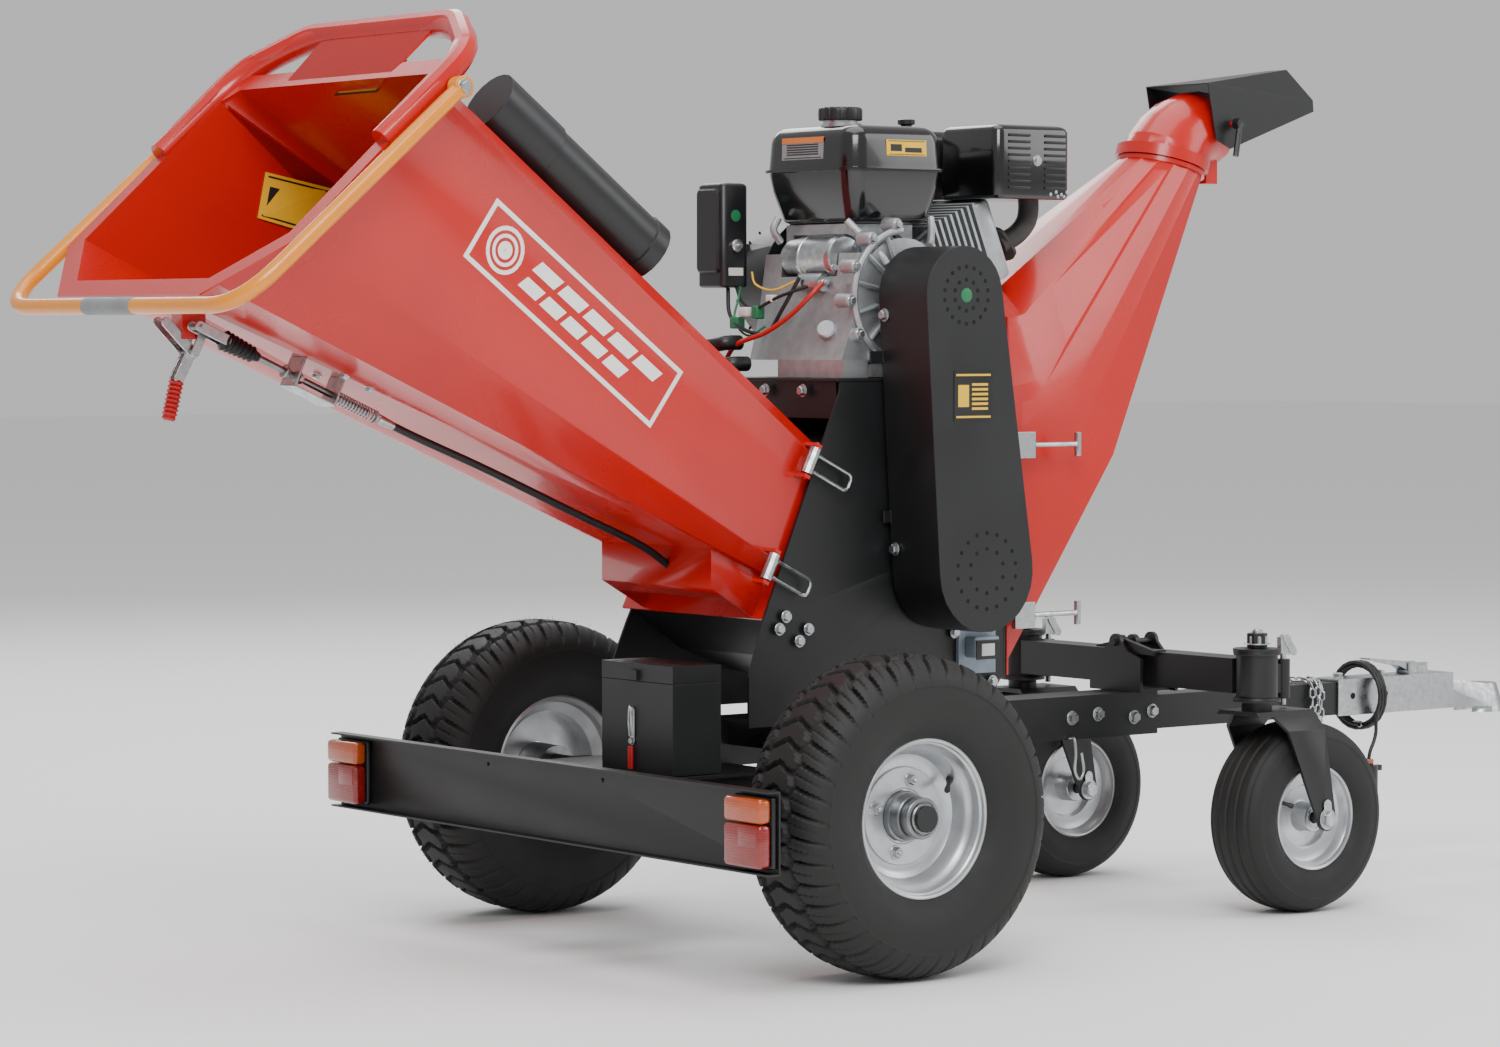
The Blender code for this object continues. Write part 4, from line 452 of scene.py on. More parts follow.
def finishNode(node, body, material, bevelMm, sharp=32):
    # a merged copy of the node with small rounded edges stands for it
    source = frame["nodes"][node]
    work = bmesh.new()
    work.from_mesh(source.data)
    bmesh.ops.remove_doubles(work, verts=work.verts, dist=0.00002)
    bmesh.ops.dissolve_limit(work, angle_limit=math.radians(1.0), verts=work.verts, edges=work.edges)
    mesh = bpy.data.meshes.new(node + "Skin")
    work.to_mesh(mesh)
    work.free()
    mesh.shade_smooth()
    mesh.set_sharp_from_angle(angle=math.radians(sharp))
    mesh.materials.clear()
    mesh.materials.append(look[material])
    made = bpy.data.objects.new(node + "Skin", mesh)
    bpy.context.collection.objects.link(made)
    if bevelMm:
        bevel = made.modifiers.new("edges", "BEVEL")
        bevel.width = bevelMm / 1000
        bevel.segments = 2
        bevel.limit_method = "ANGLE"
        bevel.angle_limit = math.radians(sharp)
        bevel.harden_normals = True
    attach(made, body)
    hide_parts(node)
    return made


bodyOf = {node: body for body, nodes in frame["record"]["behaviour"]["bodies"].items() for node in nodes}
finishes = {"red": ["hopper_shell", "chute_shell", "chute_elbow"],
    "black": ["chassis_frame", "drawbar", "light_bar", "rear_axle", "side_plate_left", "side_plate_right",
        "engine_deck", "rotor_housing", "belt_guard", "caster_saddle", "battery_box", "battery_lid",
        "chute_hood", "recoil_starter", "caster_arm_left", "caster_arm_right", "caster_fork_left",
        "caster_fork_right"], "zinc": ["coupler", "coupler_lever", "hopper_latch_upper",
        "hopper_latch_lower", "chute_latch_upper", "chute_latch_lower", "swivel_lock_left",
        "swivel_lock_right"], "steel": ["rotor", "drive_pulley"], "alu": ["engine_block", "engine_cylinder"],
    "plastic": ["hood_clamp", "manual_tube", "battery", "lead_plug"], "belt": ["drive_belt"],
    "meter": ["meter_box"]}
for finish, nodes in finishes.items():
    for node in nodes:
        finishNode(node, bodyOf[node], finish, 0.0 if node in ("rotor", "drive_belt", "hopper_shell")
            else 1.0)
print("nodes finished")

# trailer lead: wound twice over round the coupler, then down to its connector
lead = {"centre": (1.505, 0.0, 0.33), "layers": (0.0545, 0.0615), "pitch": 0.0072, "turns": 4.85,
    "leaves": 0.45, "diameter": 0.0068}
turn = np.linspace(0, lead["turns"], 24 * 5)
# across: a turn is laid beside the last by a short slanted step; out: one climb to the second layer
across = np.interp(turn, [0.4, 0.6, 1.4, 1.6, 2.9, 3.1, 3.9, 4.1],
    [-1, 0, 0, 1, 1, 0, 0, -1]) * lead["pitch"]
out = np.interp(turn, [2.15, 2.4], lead["layers"])
phase = lead["leaves"] + tau * (turn - lead["turns"])
coil = np.stack([lead["centre"][0] + across, -out * np.cos(phase), lead["centre"][2] - out * np.sin(phase)],
    -1)
fall = spline([coil[-1], (1.4985, -0.0515, 0.283), (1.4975, -0.052, 0.264), (1.4905, -0.0532, 0.247),
        (1.4812, -0.054, 0.2315), (1.4765, -0.054, 0.213)], 5)
leadPath = np.vstack([coil, fall[1:]])
trailerLead = tube("trailerLead", leadPath, lead["diameter"] / 2, "cable", "frame", 14)
leadPath = leadPath + (axleX, 0, 0)
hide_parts("lead_coil", "lead_drop")
clip = coil[0]
together("leadClip", [sweep(clip + np.stack([np.zeros(17), 0.0048 * np.cos(np.linspace(0, tau, 17)),
                    0.0048 * np.sin(np.linspace(0, tau, 17))], -1)[:-1], 0.0012, 8, True),
        slab(clip + (-0.005, -0.002, 0.0045), clip + (0.005, 0.012, 0.0062), 0.0006)], "zinc", "frame")
together("leadGland", [turnedShape([(0.0036, 0.2065), (0.0085, 0.2065), (0.0105, 0.211), (0.0105, 0.215),
                (0.0085, 0.2172), (0.0036, 0.2172)], (1.476, -0.054, 0), (0, 0, 1), 24)], "amber", "frame")


# wheels
def tyreProfile(points, per=6):
    # half of a section from bead to crown, made smooth and mirrored to the other bead
    half = spline(points, per)
    return np.vstack([half, (half * (1, -1))[::-1][1:]])


def acrossShare(profile, ridge):
    # signed distance from the crown along the section, as a share of the way to the ridge
    arc = np.concatenate([[0], np.cumsum(np.linalg.norm(np.diff(profile, axis=0), axis=1))])
    arc -= arc[len(arc) // 2]
    return arc / np.abs(arc[np.argmin(np.abs(profile[:len(arc) // 2, 0] - ridge))])


def softStep(value, edge):
    t = np.clip(value / edge, 0, 1)
    return t * t * (3 - 2 * t)


def blockTread(angle, share, lugs=42):
    # depth of the grooves: slanted gaps between shoulder lugs, a zigzag ring each side, arrows on the crown
    q = np.abs(share)
    beat = angle * lugs / tau
    side = np.sign(share)
    gap = np.abs(((beat + 0.25 * side + 0.9 * (q - 0.36) + 0.5) % 1) - 0.5)
    lug = softStep(gap - 0.05, 0.05)
    shallow = 0.0085 - 0.005 * softStep(q - 0.45, 0.5)
    zigzag = np.abs((beat + 0.25 * side) % 1 - 0.5) * 0.16
    ring = softStep(np.abs(q - 0.3 - zigzag) - 0.03, 0.03)
    arrow = np.abs(((beat + 1.5 * q + 0.35) % 1) - 0.5)
    crown = softStep(arrow - 0.075, 0.05)
    slit = softStep(np.abs(((beat + 0.25 * side + 0.9 * (q - 0.36)) % 1) - 0.5) - 0.012, 0.03)
    body = np.where(q < 0.3 + zigzag, crown, np.minimum(lug, 1 - 0.35 * (1 - slit) * (q < 0.8)))
    return -shallow * (1 - np.minimum(body, ring)) * (q < 1.0)


def ribTread(angle, share):
    # five straight grooves round the tyre, 3 mm deep
    lines = np.array([-0.62, -0.31, 0.0, 0.31, 0.62])
    near = np.abs(share[..., None] - lines).min(-1)
    return -0.0032 * (1 - softStep(near - 0.02, 0.045)) + 0 * angle


def hairs(count, radius, centre, reach, spread, seed, length):
    # thin moulding hairs that stand out from the tread: three-sided spikes
    draw = np.random.default_rng(seed)
    angle = draw.uniform(0.5, tau - 0.5, count) + math.pi
    y = draw.uniform(-spread, spread, count)
    tip = length * draw.uniform(0.5, 1.0, count)
    lean = draw.uniform(-0.5, 0.5, (count, 2))
    r = radius(y)
    outward = np.stack([np.sin(angle), np.zeros(count), np.cos(angle)], -1)
    along = np.stack([np.cos(angle), np.zeros(count), -np.sin(angle)], -1)
    foot = outward * (r - 0.001)[:, None] + np.stack([np.zeros(count), y, np.zeros(count)], -1)
    top = foot + (outward + along * lean[:, :1] + np.array([0, 1.0, 0]) * lean[:, 1:]) * (tip + 0.001)[:,
        None]
    corner = np.arange(3) * tau / 3
    ring = (np.cos(corner)[None, :, None] * along[:, None]
        + np.sin(corner)[None, :, None] * np.array([0, 1.0, 0])) * reach
    points = np.concatenate([foot[:, None] + ring, top[:, None] + ring * 0.4], 1) + np.asarray(centre)
    base = np.arange(count)[:, None] * 6
    sides = np.concatenate([base + [a, b, b + 3, a + 3] for a, b in ((0, 1), (1, 2), (2, 0))])
    return points.reshape(-1, 3), [sides, np.concatenate([base + [2, 1, 0], base + [3, 4, 5]])]


def tyre(name, node, body, centre, section, ridge, tread, steps, inner, hairPlan):
    profile = tyreProfile(section)
    share = acrossShare(profile, ridge)
    closing = np.array([(inner, -0.6 * abs(section[0][1])), (inner, 0.6 * abs(section[0][1]))])
    whole = np.vstack([profile, closing])
    share = np.concatenate([share, [9, 9]])
    angle = np.arange(steps) * tau / steps
    radius = whole[None, :, 0] + tread(angle[:, None], share[None, :])
    along = np.repeat(whole[None, :, 1], steps, 0)
    points = np.stack([radius * np.sin(angle)[:, None], along, radius * np.cos(angle)[:, None]], -1) + centre
    shapes = [(points.reshape(-1, 3), quadGrid(steps, len(whole), True, True))]
    if hairPlan:
        crown = interpRadius(profile)
        shapes.append(hairs(hairPlan["count"], crown, centre, 0.00045, hairPlan["spread"], hairPlan["seed"],
                hairPlan["length"]))
    made = together(name, shapes, "tyre", body, 40)
    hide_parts(node)
    return made


def interpRadius(profile):
    order = np.argsort(profile[:, 1])
    return lambda y: np.interp(y, profile[order, 1], profile[order, 0])


def spun(name, profile, centre, out, material, body, steps=96):
    # a closed section of (radius, outward) points turned about the wheel's axis
    profile = np.asarray(profile, dtype=float)
    if out > 0:
        profile = profile[::-1]
    points, faces = turnedShape(profile * (1, out), centre, (0, 1, 0), steps)
    return together(name, [(points, faces)], material, body, 28)


rearWheel = {"section": [(0.1235, -0.064), (0.129, -0.07), (0.142, -0.08), (0.162, -0.089), (0.185, -0.0918),
        (0.204, -0.0905), (0.2075, -0.0912), (0.22, -0.0868), (0.233, -0.077), (0.243, -0.063),
        (0.249, -0.046), (0.2518, -0.024), (0.2525, 0.0)], "ridge": 0.2075, "inner": 0.124, "y": 0.492,
    "z": 0.2525, "hairs": {"count": 190, "spread": 0.075, "seed": 4, "length": 0.009}}
rearRim = [(0.125, 0.0655), (0.1238, 0.0668), (0.1215, 0.0672), (0.1196, 0.066), (0.1186, 0.0636),
    (0.1178, 0.0612), (0.116, 0.0602), (0.1148, 0.0585), (0.1142, 0.048), (0.1122, 0.0425), (0.108, 0.0385),
    (0.104, 0.033), (0.101, 0.024), (0.0965, 0.015), (0.09, 0.0105), (0.083, 0.0092), (0.0768, 0.009),
    (0.0765, 0.0118), (0.0755, 0.0128), (0.06, 0.013), (0.044, 0.013), (0.0425, 0.012), (0.0405, 0.012),
    (0.0405, 0.004), (0.08, 0.005), (0.09, 0.0055), (0.095, 0.006), (0.096, -0.03), (0.1122, -0.0425),
    (0.1142, -0.048), (0.1148, -0.0585), (0.1186, -0.0636), (0.1215, -0.0672), (0.125, -0.0655),
    (0.125, -0.064), (0.1215, -0.06), (0.1175, -0.056), (0.116, -0.044), (0.1, -0.032), (0.1, 0.006),
    (0.1045, 0.026), (0.116, 0.044), (0.1175, 0.056), (0.1215, 0.06), (0.125, 0.064)]
rearHub = [(0.0152, -0.06), (0.038, -0.06), (0.0395, 0.0), (0.0395, 0.018), (0.0385, 0.02), (0.036, 0.0205),
    (0.035, 0.022), (0.0345, 0.04), (0.033, 0.0418), (0.029, 0.042), (0.0285, 0.05), (0.0315, 0.0505),
    (0.0325, 0.052), (0.0325, 0.06), (0.0315, 0.0612), (0.027, 0.0615), (0.0262, 0.06), (0.025, 0.06),
    (0.0246, 0.064), (0.0232, 0.0655), (0.02, 0.066), (0.0196, 0.064), (0.0152, 0.064)]
casterWheel = {"section": [(0.0895, -0.045), (0.094, -0.05), (0.105, -0.0575), (0.12, -0.0608),
        (0.136, -0.059), (0.14, -0.0592), (0.15, -0.054), (0.1585, -0.044), (0.163, -0.03), (0.165, -0.015),
        (0.1653, 0.0)], "ridge": 0.14, "inner": 0.0898, "x": 1.042, "y": 0.306, "z": 0.1653, "stemX": 0.948,
    "hairs": {"count": 46, "spread": 0.055, "seed": 9, "length": 0.008}}
casterRim = [(0.091, 0.0475), (0.0902, 0.049), (0.088, 0.0496), (0.0862, 0.0488), (0.0852, 0.046),
    (0.0846, 0.042), (0.083, 0.04), (0.08, 0.033), (0.077, 0.027), (0.068, 0.0235), (0.056, 0.0225),
    (0.0545, 0.0212), (0.0535, 0.015), (0.052, 0.013), (0.03, 0.012), (0.026, 0.0135), (0.0245, 0.018),
    (0.0243, 0.044), (0.0235, 0.0455), (0.02, 0.0458), (0.0195, 0.044), (0.015, 0.0438), (0.0148, 0.0455),
    (0.0105, 0.0455), (0.0105, -0.0455), (0.0235, -0.0455), (0.0245, -0.044), (0.026, -0.0135),
    (0.052, -0.013), (0.056, -0.0225), (0.068, -0.0235), (0.077, -0.027), (0.083, -0.04), (0.0846, -0.042),
    (0.0862, -0.0488), (0.088, -0.0496), (0.091, -0.0475), (0.089, -0.044), (0.086, -0.038), (0.081, -0.024),
    (0.081, 0.024), (0.086, 0.038), (0.089, 0.044)]
for side, out in sides:
    body = "rear_wheel_" + side
    centre = np.array([0.0, out * rearWheel["y"], rearWheel["z"]])
    tyre("rearTyre." + side, "rear_tyre_" + side, body, centre, rearWheel["section"], rearWheel["ridge"],
        blockTread, 588, rearWheel["inner"], rearWheel["hairs"])
    rim = spun("rearRim." + side, rearRim, centre, out, "silver", body)
    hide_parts("rear_rim_" + side)
    spun("rearHub." + side, rearHub, centre, out, "steel", body, 64)
    lugs = []
    for angle in np.radians([75, 165, 255, 345]):
        spot = centre + (0.0575 * math.cos(angle), out * 0.013, 0.0575 * math.sin(angle))
        lugs += hexBolt(spot, (0, out, 0), 0.015, 0.0075)
        lugs.append(plug([(0.004, 0.008), (0.004, 0.0135), (0.0032, 0.0142)], spot, (0, out, 0), 14))
    together("rearWheelBolts." + side, lugs, "zinc", body)
    angle = math.radians(32)
    root = centre + (0.099 * math.cos(angle), out * 0.024, 0.099 * math.sin(angle))
    lean = np.array([-math.cos(angle) * 0.8, out * 0.62, -math.sin(angle) * 0.8])
    turned("rearValve." + side, [(0.0062, -0.004), (0.0058, 0.004), (0.0036, 0.01), (0.0034, 0.026),
            (0.0046, 0.0265), (0.0048, 0.0335), (0.004, 0.0355)], root, lean, "cable", body, 18)
    body = "caster_wheel_" + side
    centre = np.array([casterWheel["x"], out * casterWheel["y"], casterWheel["z"]])
    tyre("casterTyre." + side, "caster_tyre_" + side, body, centre, casterWheel["section"],
        casterWheel["ridge"], ribTread, 168, casterWheel["inner"], casterWheel["hairs"])
    rim = spun("casterRim." + side, casterRim, centre, out, "silver", body)
    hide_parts("caster_rim_" + side)
    root = centre + (-0.064, out * 0.024, 0.03)
    together("casterValve." + side, [turnedShape([(0.0001, -0.003), (0.0055, -0.003), (0.0034, 0.006),
                    (0.0034, 0.018), (0.0045, 0.0185), (0.0045, 0.026), (0.0001, 0.027)], root,
                (0.6, out * 0.7, -0.3), 16)], "cable", body)
print("wheels made")

# safety stop bar: one bent tube with worn tape at the middle of its foot and a plate at each pivot
stopBar = {"pivot": (-0.7185, 0.3595, 1.3585), "foot": (-1.0925, 0.356, 1.039), "radius": 0.0125,
    "rounding": 0.085}
px, py, pz = stopBar["pivot"]
qx, qy, qz = stopBar["foot"]
stopPath = cornered([(px, -py, pz), (qx, -qy, qz), (qx, qy, qz), (px, py, pz)], stopBar["rounding"], 12)
made = tube("stopBar", stopPath, stopBar["radius"], "yellow", "stop_bar", 24)
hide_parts("stop_bar")
tape = np.stack([np.full(14, qx), np.linspace(-0.057, 0.087, 14), np.full(14, qz)], -1)
tube("stopBarTape", tape, 0.0131 + 0.0002 * np.sin(np.arange(14) * 2.1), "greyTape", "stop_bar", 24)
for tag, side in sides:
    turned("stopBarPivot." + tag, [(0.0165, -0.0125), (0.0165, 0.0085), (0.015, 0.01)], (px, side * py, pz),
        (0, side, 0), "yellow", "stop_bar", 32)
    together("stopBarBolt." + tag, hexBolt((px, side * (py + 0.009), pz), (0, side, 0), 0.016, 0.005),
        "zinc", "stop_bar")
print("stop bar bent")

# tail lamps: amber turn signal over red, on a black base
lamp = {"x": (-0.358, -0.334), "y": (0.512, 0.606), "z": (0.203, 0.311), "split": 0.271, "rim": 0.0018}
for tag, side in sides:
    low, high = sorted((side * lamp["y"][0], side * lamp["y"][1]))
    r = lamp["rim"]
    base = together("tailLampBase." + tag,
        [slab((lamp["x"][1], low, lamp["z"][0]), (-0.3256, high, lamp["z"][1]), 0.003)], "plastic", "frame")
    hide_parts("tail_light_" + tag)
    amberLens = together("tailLampAmber." + tag,
        [slab((lamp["x"][0], low + r, lamp["split"] + 0.0006), (lamp["x"][1], high - r, lamp["z"][1] - r),
                0.007)], "amber", "frame")
    redLens = together("tailLampRed." + tag,
        [slab((lamp["x"][0], low + r, lamp["z"][0] + r), (lamp["x"][1], high - r, lamp["split"] - 0.0006),
                0.007), slab((lamp["x"][0] - 0.001, low + 0.008, lamp["split"] - 0.034),
                (lamp["x"][0] + 0.002, low + 0.052, lamp["split"] - 0.006), 0.0008)], "redLens", "frame")
print("lamps made")


# safety chain: welded links laid over the drawbar, with an open hook
def chainLinks(path, pitch, wire, width):
    # each link is a racetrack loop; every other one is turned a quarter about the path
    p = np.asarray(path, dtype=float)
    arc = np.concatenate([[0], np.cumsum(np.linalg.norm(np.diff(p, axis=0), axis=1))])
    spots = np.arange(pitch / 2, arc[-1], pitch)
    centre = np.stack([np.interp(spots, arc, p[:, k]) for k in range(3)], -1)
    ahead = np.stack([np.interp(spots + 0.002, arc, p[:, k]) for k in range(3)], -1) - centre
    shapes = []
    t = np.arange(20) * tau / 20
    straight, bend = (pitch + 2 * wire - width) / 2, width / 2 - wire
    loop = np.stack([np.cos(t) * bend + np.sign(np.cos(t)) * straight, np.sin(t) * bend], -1)
    for k, (spot, way) in enumerate(zip(centre, ahead)):
        basis = unitTo(way / max(np.linalg.norm(way), 1e-9))
        twist = 0.6 + (k % 2) * math.pi / 2 + 0.15 * math.sin(k * 1.7)
        across = math.cos(twist) * basis[:, 0] + math.sin(twist) * basis[:, 1]
        ring = spot + loop[:, :1] * basis[:, 2] + loop[:, 1:] * across
        shapes.append(sweep(ring, wire, 8, True))
    return shapes


drape = spline([(1.345, 0.018, 0.366), (1.345, -0.015, 0.3668), (1.345, -0.033, 0.362),
        (1.3455, -0.04, 0.345), (1.346, -0.039, 0.31), (1.3475, -0.038, 0.275), (1.351, -0.036, 0.25),
        (1.3575, -0.035, 0.24), (1.364, -0.036, 0.25), (1.368, -0.038, 0.275), (1.369, -0.039, 0.31),
        (1.369, -0.04, 0.345), (1.369, -0.033, 0.362), (1.369, -0.015, 0.3668), (1.369, 0.018, 0.366)], 6)
tail = spline([(1.357, -0.016, 0.37), (1.357, -0.037, 0.362), (1.3565, -0.044, 0.34), (1.356, -0.043, 0.3),
        (1.3555, -0.042, 0.262), (1.355, -0.04, 0.238)], 6)
chain = together("safetyChain", chainLinks(drape, 0.016, 0.0019, 0.0125)
    + chainLinks(tail, 0.016, 0.0019, 0.0125), "zinc", "frame")
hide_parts("safety_chain")
hook = spline([(1.355, -0.0385, 0.234), (1.36, -0.0385, 0.23), (1.362, -0.0385, 0.222),
        (1.358, -0.0385, 0.215), (1.354, -0.0385, 0.208), (1.35, -0.0385, 0.204), (1.345, -0.0385, 0.206),
        (1.3425, -0.0385, 0.212), (1.344, -0.0385, 0.218)], 5)
tube("chainHook", hook, np.linspace(0.003, 0.0022, len(hook)), "zinc", "frame", 10)
print("chain draped")


# helpers for pressed and moulded shells
def roundedRing(half, corner, steps=8):
    # a rectangle with quarter-circle corners, counter-clockwise
    a = np.linspace(0, math.pi / 2, steps)
    corner = min(corner, half[0] * 0.999, half[1] * 0.999)
    ring = []
    for k, (sx, sy) in enumerate(((1, 1), (-1, 1), (-1, -1), (1, -1))):
        ring.append(np.stack([sx * (half[0] - corner) + corner * np.cos(a + k * math.pi / 2),
                    sy * (half[1] - corner) + corner * np.sin(a + k * math.pi / 2)], -1))
    return np.vstack(ring)


def shell(levels, centre, half, corner, turn=None, steps=8):
    # rounded rectangles stacked along local z; each level is (inset, height)
    rings = []
    for inset, height in levels:
        ring = roundedRing((half[0] - inset, half[1] - inset), max(corner - inset * 0.5, 0.001), steps)
        rings.append(np.column_stack([ring, np.full(len(ring), height)]))
    count = len(rings[0])
    points = np.vstack(rings)
    if turn is not None:
        points = points @ np.asarray(turn).T
    caps = [np.arange(count)[None, ::-1], (np.arange(count) + count * (len(rings) - 1))[None]]
    return points + np.asarray(centre), [quadGrid(len(rings), count, False, True), *caps]


def patch(corners, across=(0, 1), up=(0, 1), lift=0.0008):
    # a thin plate over part of a four-cornered area: corners run anticlockwise from the lower left
    a, b, c, d = np.asarray(corners, dtype=float)
    normal = np.cross(b - a, d - a)
    normal /= np.linalg.norm(normal)
    spots = [(across[0], up[0]), (across[1], up[0]), (across[1], up[1]), (across[0], up[1])]
    flat = np.array([(1 - v) * ((1 - u) * a + u * b) + v * ((1 - u) * d + u * c) for u, v in spots])
    points = np.vstack([flat - normal * 0.0004, flat + normal * lift])
    faces = np.array([[3, 2, 1, 0], [4, 5, 6, 7], [0, 1, 5, 4], [1, 2, 6, 5], [2, 3, 7, 6], [3, 0, 4, 7]])
    return points, faces


def label(name, corners, ground, ink, body, rows=4, symbol=True):
    # a generic plate: border, a round or square symbol field and plain bars, no lettering
    together(name, [patch(corners)], ground, body)
    marks = [patch(corners, (0.05, 0.95), (0.9, 0.94), 0.0012),
        patch(corners, (0.05, 0.95), (0.06, 0.1), 0.0012)]
    if symbol:
        marks.append(patch(corners, (0.1, 0.38), (0.28, 0.72), 0.0012))
    for k in range(rows):
        low = 0.22 + 0.58 * k / rows
        marks.append(patch(corners, (0.46 if symbol else 0.12, 0.88), (low, low + 0.3 / rows), 0.0012))
    together(name + "Marks", marks, ink, body)


def discs(name, spots, axis, radius, material, body, high=0.0006):
    together(name, [turnedShape([(0.0001, -0.0006), (radius, -0.0006), (radius, high * 0.6),
                    (radius * 0.85, high), (0.0001, high)], spot, axis, 16) for spot in spots], material,
        body)


def bolts(name, spots, axis, body, across=0.013, high=0.006, material="zinc"):
    shapes = []
    for spot in spots:
        shapes += hexBolt(spot, axis, across, high)
    together(name, shapes, material, body)


def flatBar(start, end, width, thick, facing):
    # a strip with round ends between two pins
    start, end = np.asarray(start, dtype=float), np.asarray(end, dtype=float)
    z = np.asarray(facing, dtype=float)
    x = (end - start) / np.linalg.norm(end - start)
    y = np.cross(z, x)
    middle = (start + end) / 2
    half = (np.linalg.norm(end - start) / 2 + width / 2, width / 2)
    return shell([(0.0008, -thick / 2), (0, -thick / 2 + 0.0006), (0, thick / 2 - 0.0006),
            (0.0008, thick / 2)], middle, half, width / 2, np.stack([x, y, z], 1))


def helix(start, end, radius, turns, per=14):
    start, end = np.asarray(start, dtype=float), np.asarray(end, dtype=float)
    basis = unitTo(end - start)
    t = np.linspace(0, 1, int(turns * per))
    angle = tau * turns * t
    return (start + t[:, None] * (end - start)
        + radius * (np.cos(angle)[:, None] * basis[:, 0] + np.sin(angle)[:, None] * basis[:, 1]))


# hopper
hopperMotif = {"corners": [(-0.6618, -0.2768, 1.1136), (-0.2777, -0.2214, 0.8516),
        (-0.2127, -0.2199, 0.9382), (-0.6018, -0.2786, 1.2007)], "line": 0.016}
source = frame["nodes"]["hopper_shell"].data
sheetTree = BVHTree.FromPolygons([v.co for v in source.vertices],
    [tuple(p.vertices) for p in source.polygons])


def onHopperSide(uv, lift):
    # motif coordinates to the slanted side sheet: bilinear place, then straight in along +y
    a, b, c, d = np.asarray(hopperMotif["corners"])
    u, v = uv[:, :1], uv[:, 1:]
    points = (1 - v) * ((1 - u) * a + u * b) + v * ((1 - u) * d + u * c)
    out = []
    for x, _, z in points:
        hit = sheetTree.ray_cast(Vector((x + axleX, -0.6, z)), Vector((0, 1, 0)))[0]
        out.append((x, (hit.y if hit else -0.25) - lift, z))
    return np.array(out)


def stencil(outline, lift=0.0007):
    outline = np.asarray(outline, dtype=float)
    n = len(outline)
    points = np.vstack([onHopperSide(outline, -0.0004), onHopperSide(outline, lift)])
    ring = np.arange(n)
    nextOne = (ring + 1) % n
    return points, [np.stack([ring, nextOne, nextOne + n, ring + n], -1), ring[None, ::-1], ring[None] + n]


line = hopperMotif["line"]
tall = 0.23  # height of the area as a share of its length, to keep circles round
marks = [stencil([(u0, v0), (u1, v0), (u1, v1), (u0, v1)])
    for u0, u1, v0, v1 in ((0, 1, 0, line / tall), (0, 1, 1 - line / tall, 1),
        (0, line, line / tall, 1 - line / tall), (1 - line, 1, line / tall, 1 - line / tall))]
for outer, inner in ((0.08, 0.066), (0.054, 0.042), (0.03, 0.0)):
    for a in np.arange(24) * tau / 24:
        b = a + tau / 24
        marks.append(stencil([(0.13 + r * math.cos(t), 0.5 + r * math.sin(t) / tall)
                    for r, t in (((outer, a), (outer, b), (inner, b), (inner, a)) if inner
                        else ((outer, a), (outer, b), (0.001, b)))]))
for u0, u1, v0 in ((0.26, 0.93, 0.56), (0.24, 0.8, 0.24)):
    for k in range(5):
        x0 = u0 + (u1 - u0) * k / 5
        x1 = x0 + (u1 - u0) / 5 - 0.02
        marks.append(stencil([(x0, v0), (x1, v0), (x1 + 0.02, v0 + 0.2), (x0 + 0.02, v0 + 0.2)]))
together("hopperMotif", marks, "white", "hopper")
bowPath = cornered([mouth(-0.322, 0.33, 0.004), mouth(-0.326, 0.53), mouth(-0.205, 0.612),
        mouth(0.205, 0.612), mouth(0.326, 0.53), mouth(0.322, 0.33, 0.004)], 0.08, 10)
tube("bowRail", bowPath, 0.0194, "red", "hopper", 24)
label("chuteWarning", [mouth(-0.1, 0.485, -0.0225), mouth(0.02, 0.485, -0.0225), mouth(0.02, 0.56, -0.0225),
        mouth(-0.1, 0.56, -0.0225)][::-1], "plastic", "signYellow", "hopper")
label("feedWarning", [(-0.6819, 0.2802, 1.1814), (-0.579, 0.2655, 1.154), (-0.5539, 0.264, 1.23),
        (-0.6637, 0.2853, 1.2547)], "signYellow", "plastic", "hopper")


linkDrop = 0.03  # from the hopper floor to the axis of the rod below it


def underFloor(s, below=linkDrop, y=-0.03):
    # a point below the hopper floor: s metres down its slope from the mouth
    return np.array([-0.99 + 0.914 * s - 0.405 * below, y, 1.049 - 0.405 * s - 0.914 * below])


gaiter = [(0.01, 0.0), (0.012, 0.004)]
for k in range(7):
    gaiter += [(0.0165 - 0.0006 * k, 0.008 + 0.0085 * k), (0.0125 - 0.0006 * k, 0.0125 + 0.0085 * k)]
gaiter += [(0.007, 0.072)]
slope = underFloor(1, 0) - underFloor(0, 0)
turned("linkGaiter", gaiter, underFloor(0.075), slope, "cable", "hopper")
together("linkClevis", [*(flatBar(underFloor(0.03, linkDrop, y), underFloor(0.08, linkDrop, y), 0.016, 0.003,
                (0, -1, 0)) for y in (-0.042, -0.018)),
        plug([(0.0042, 0), (0.0042, 0.036)], underFloor(0.034, linkDrop, -0.048), (0, 1, 0), 14)], "zinc",
    "hopper")
tube("linkRod", [underFloor(0.145), underFloor(0.36)], 0.0052, "steel", "hopper", 16)
along, down = slope / np.linalg.norm(slope), np.array([-0.405, 0, -0.914])
basis = np.stack([along, np.cross(down, along), down], 1)
bracket = [shell([(0.0005, 0), (0, 0.0005), (0, 0.0025), (0.0005, 0.003)], underFloor(0.25, 0.046),
        (0.04, 0.024), 0.005, basis), *(shell([(0.0005, -0.0015), (0, 0), (0.0005, 0.0015)],
            underFloor(s, 0.024), (0.024, 0.022), 0.003, np.stack([down, basis[:, 1], along], 1))
        for s in (0.212, 0.288))]
together("linkBracket", bracket, "zinc", "hopper")
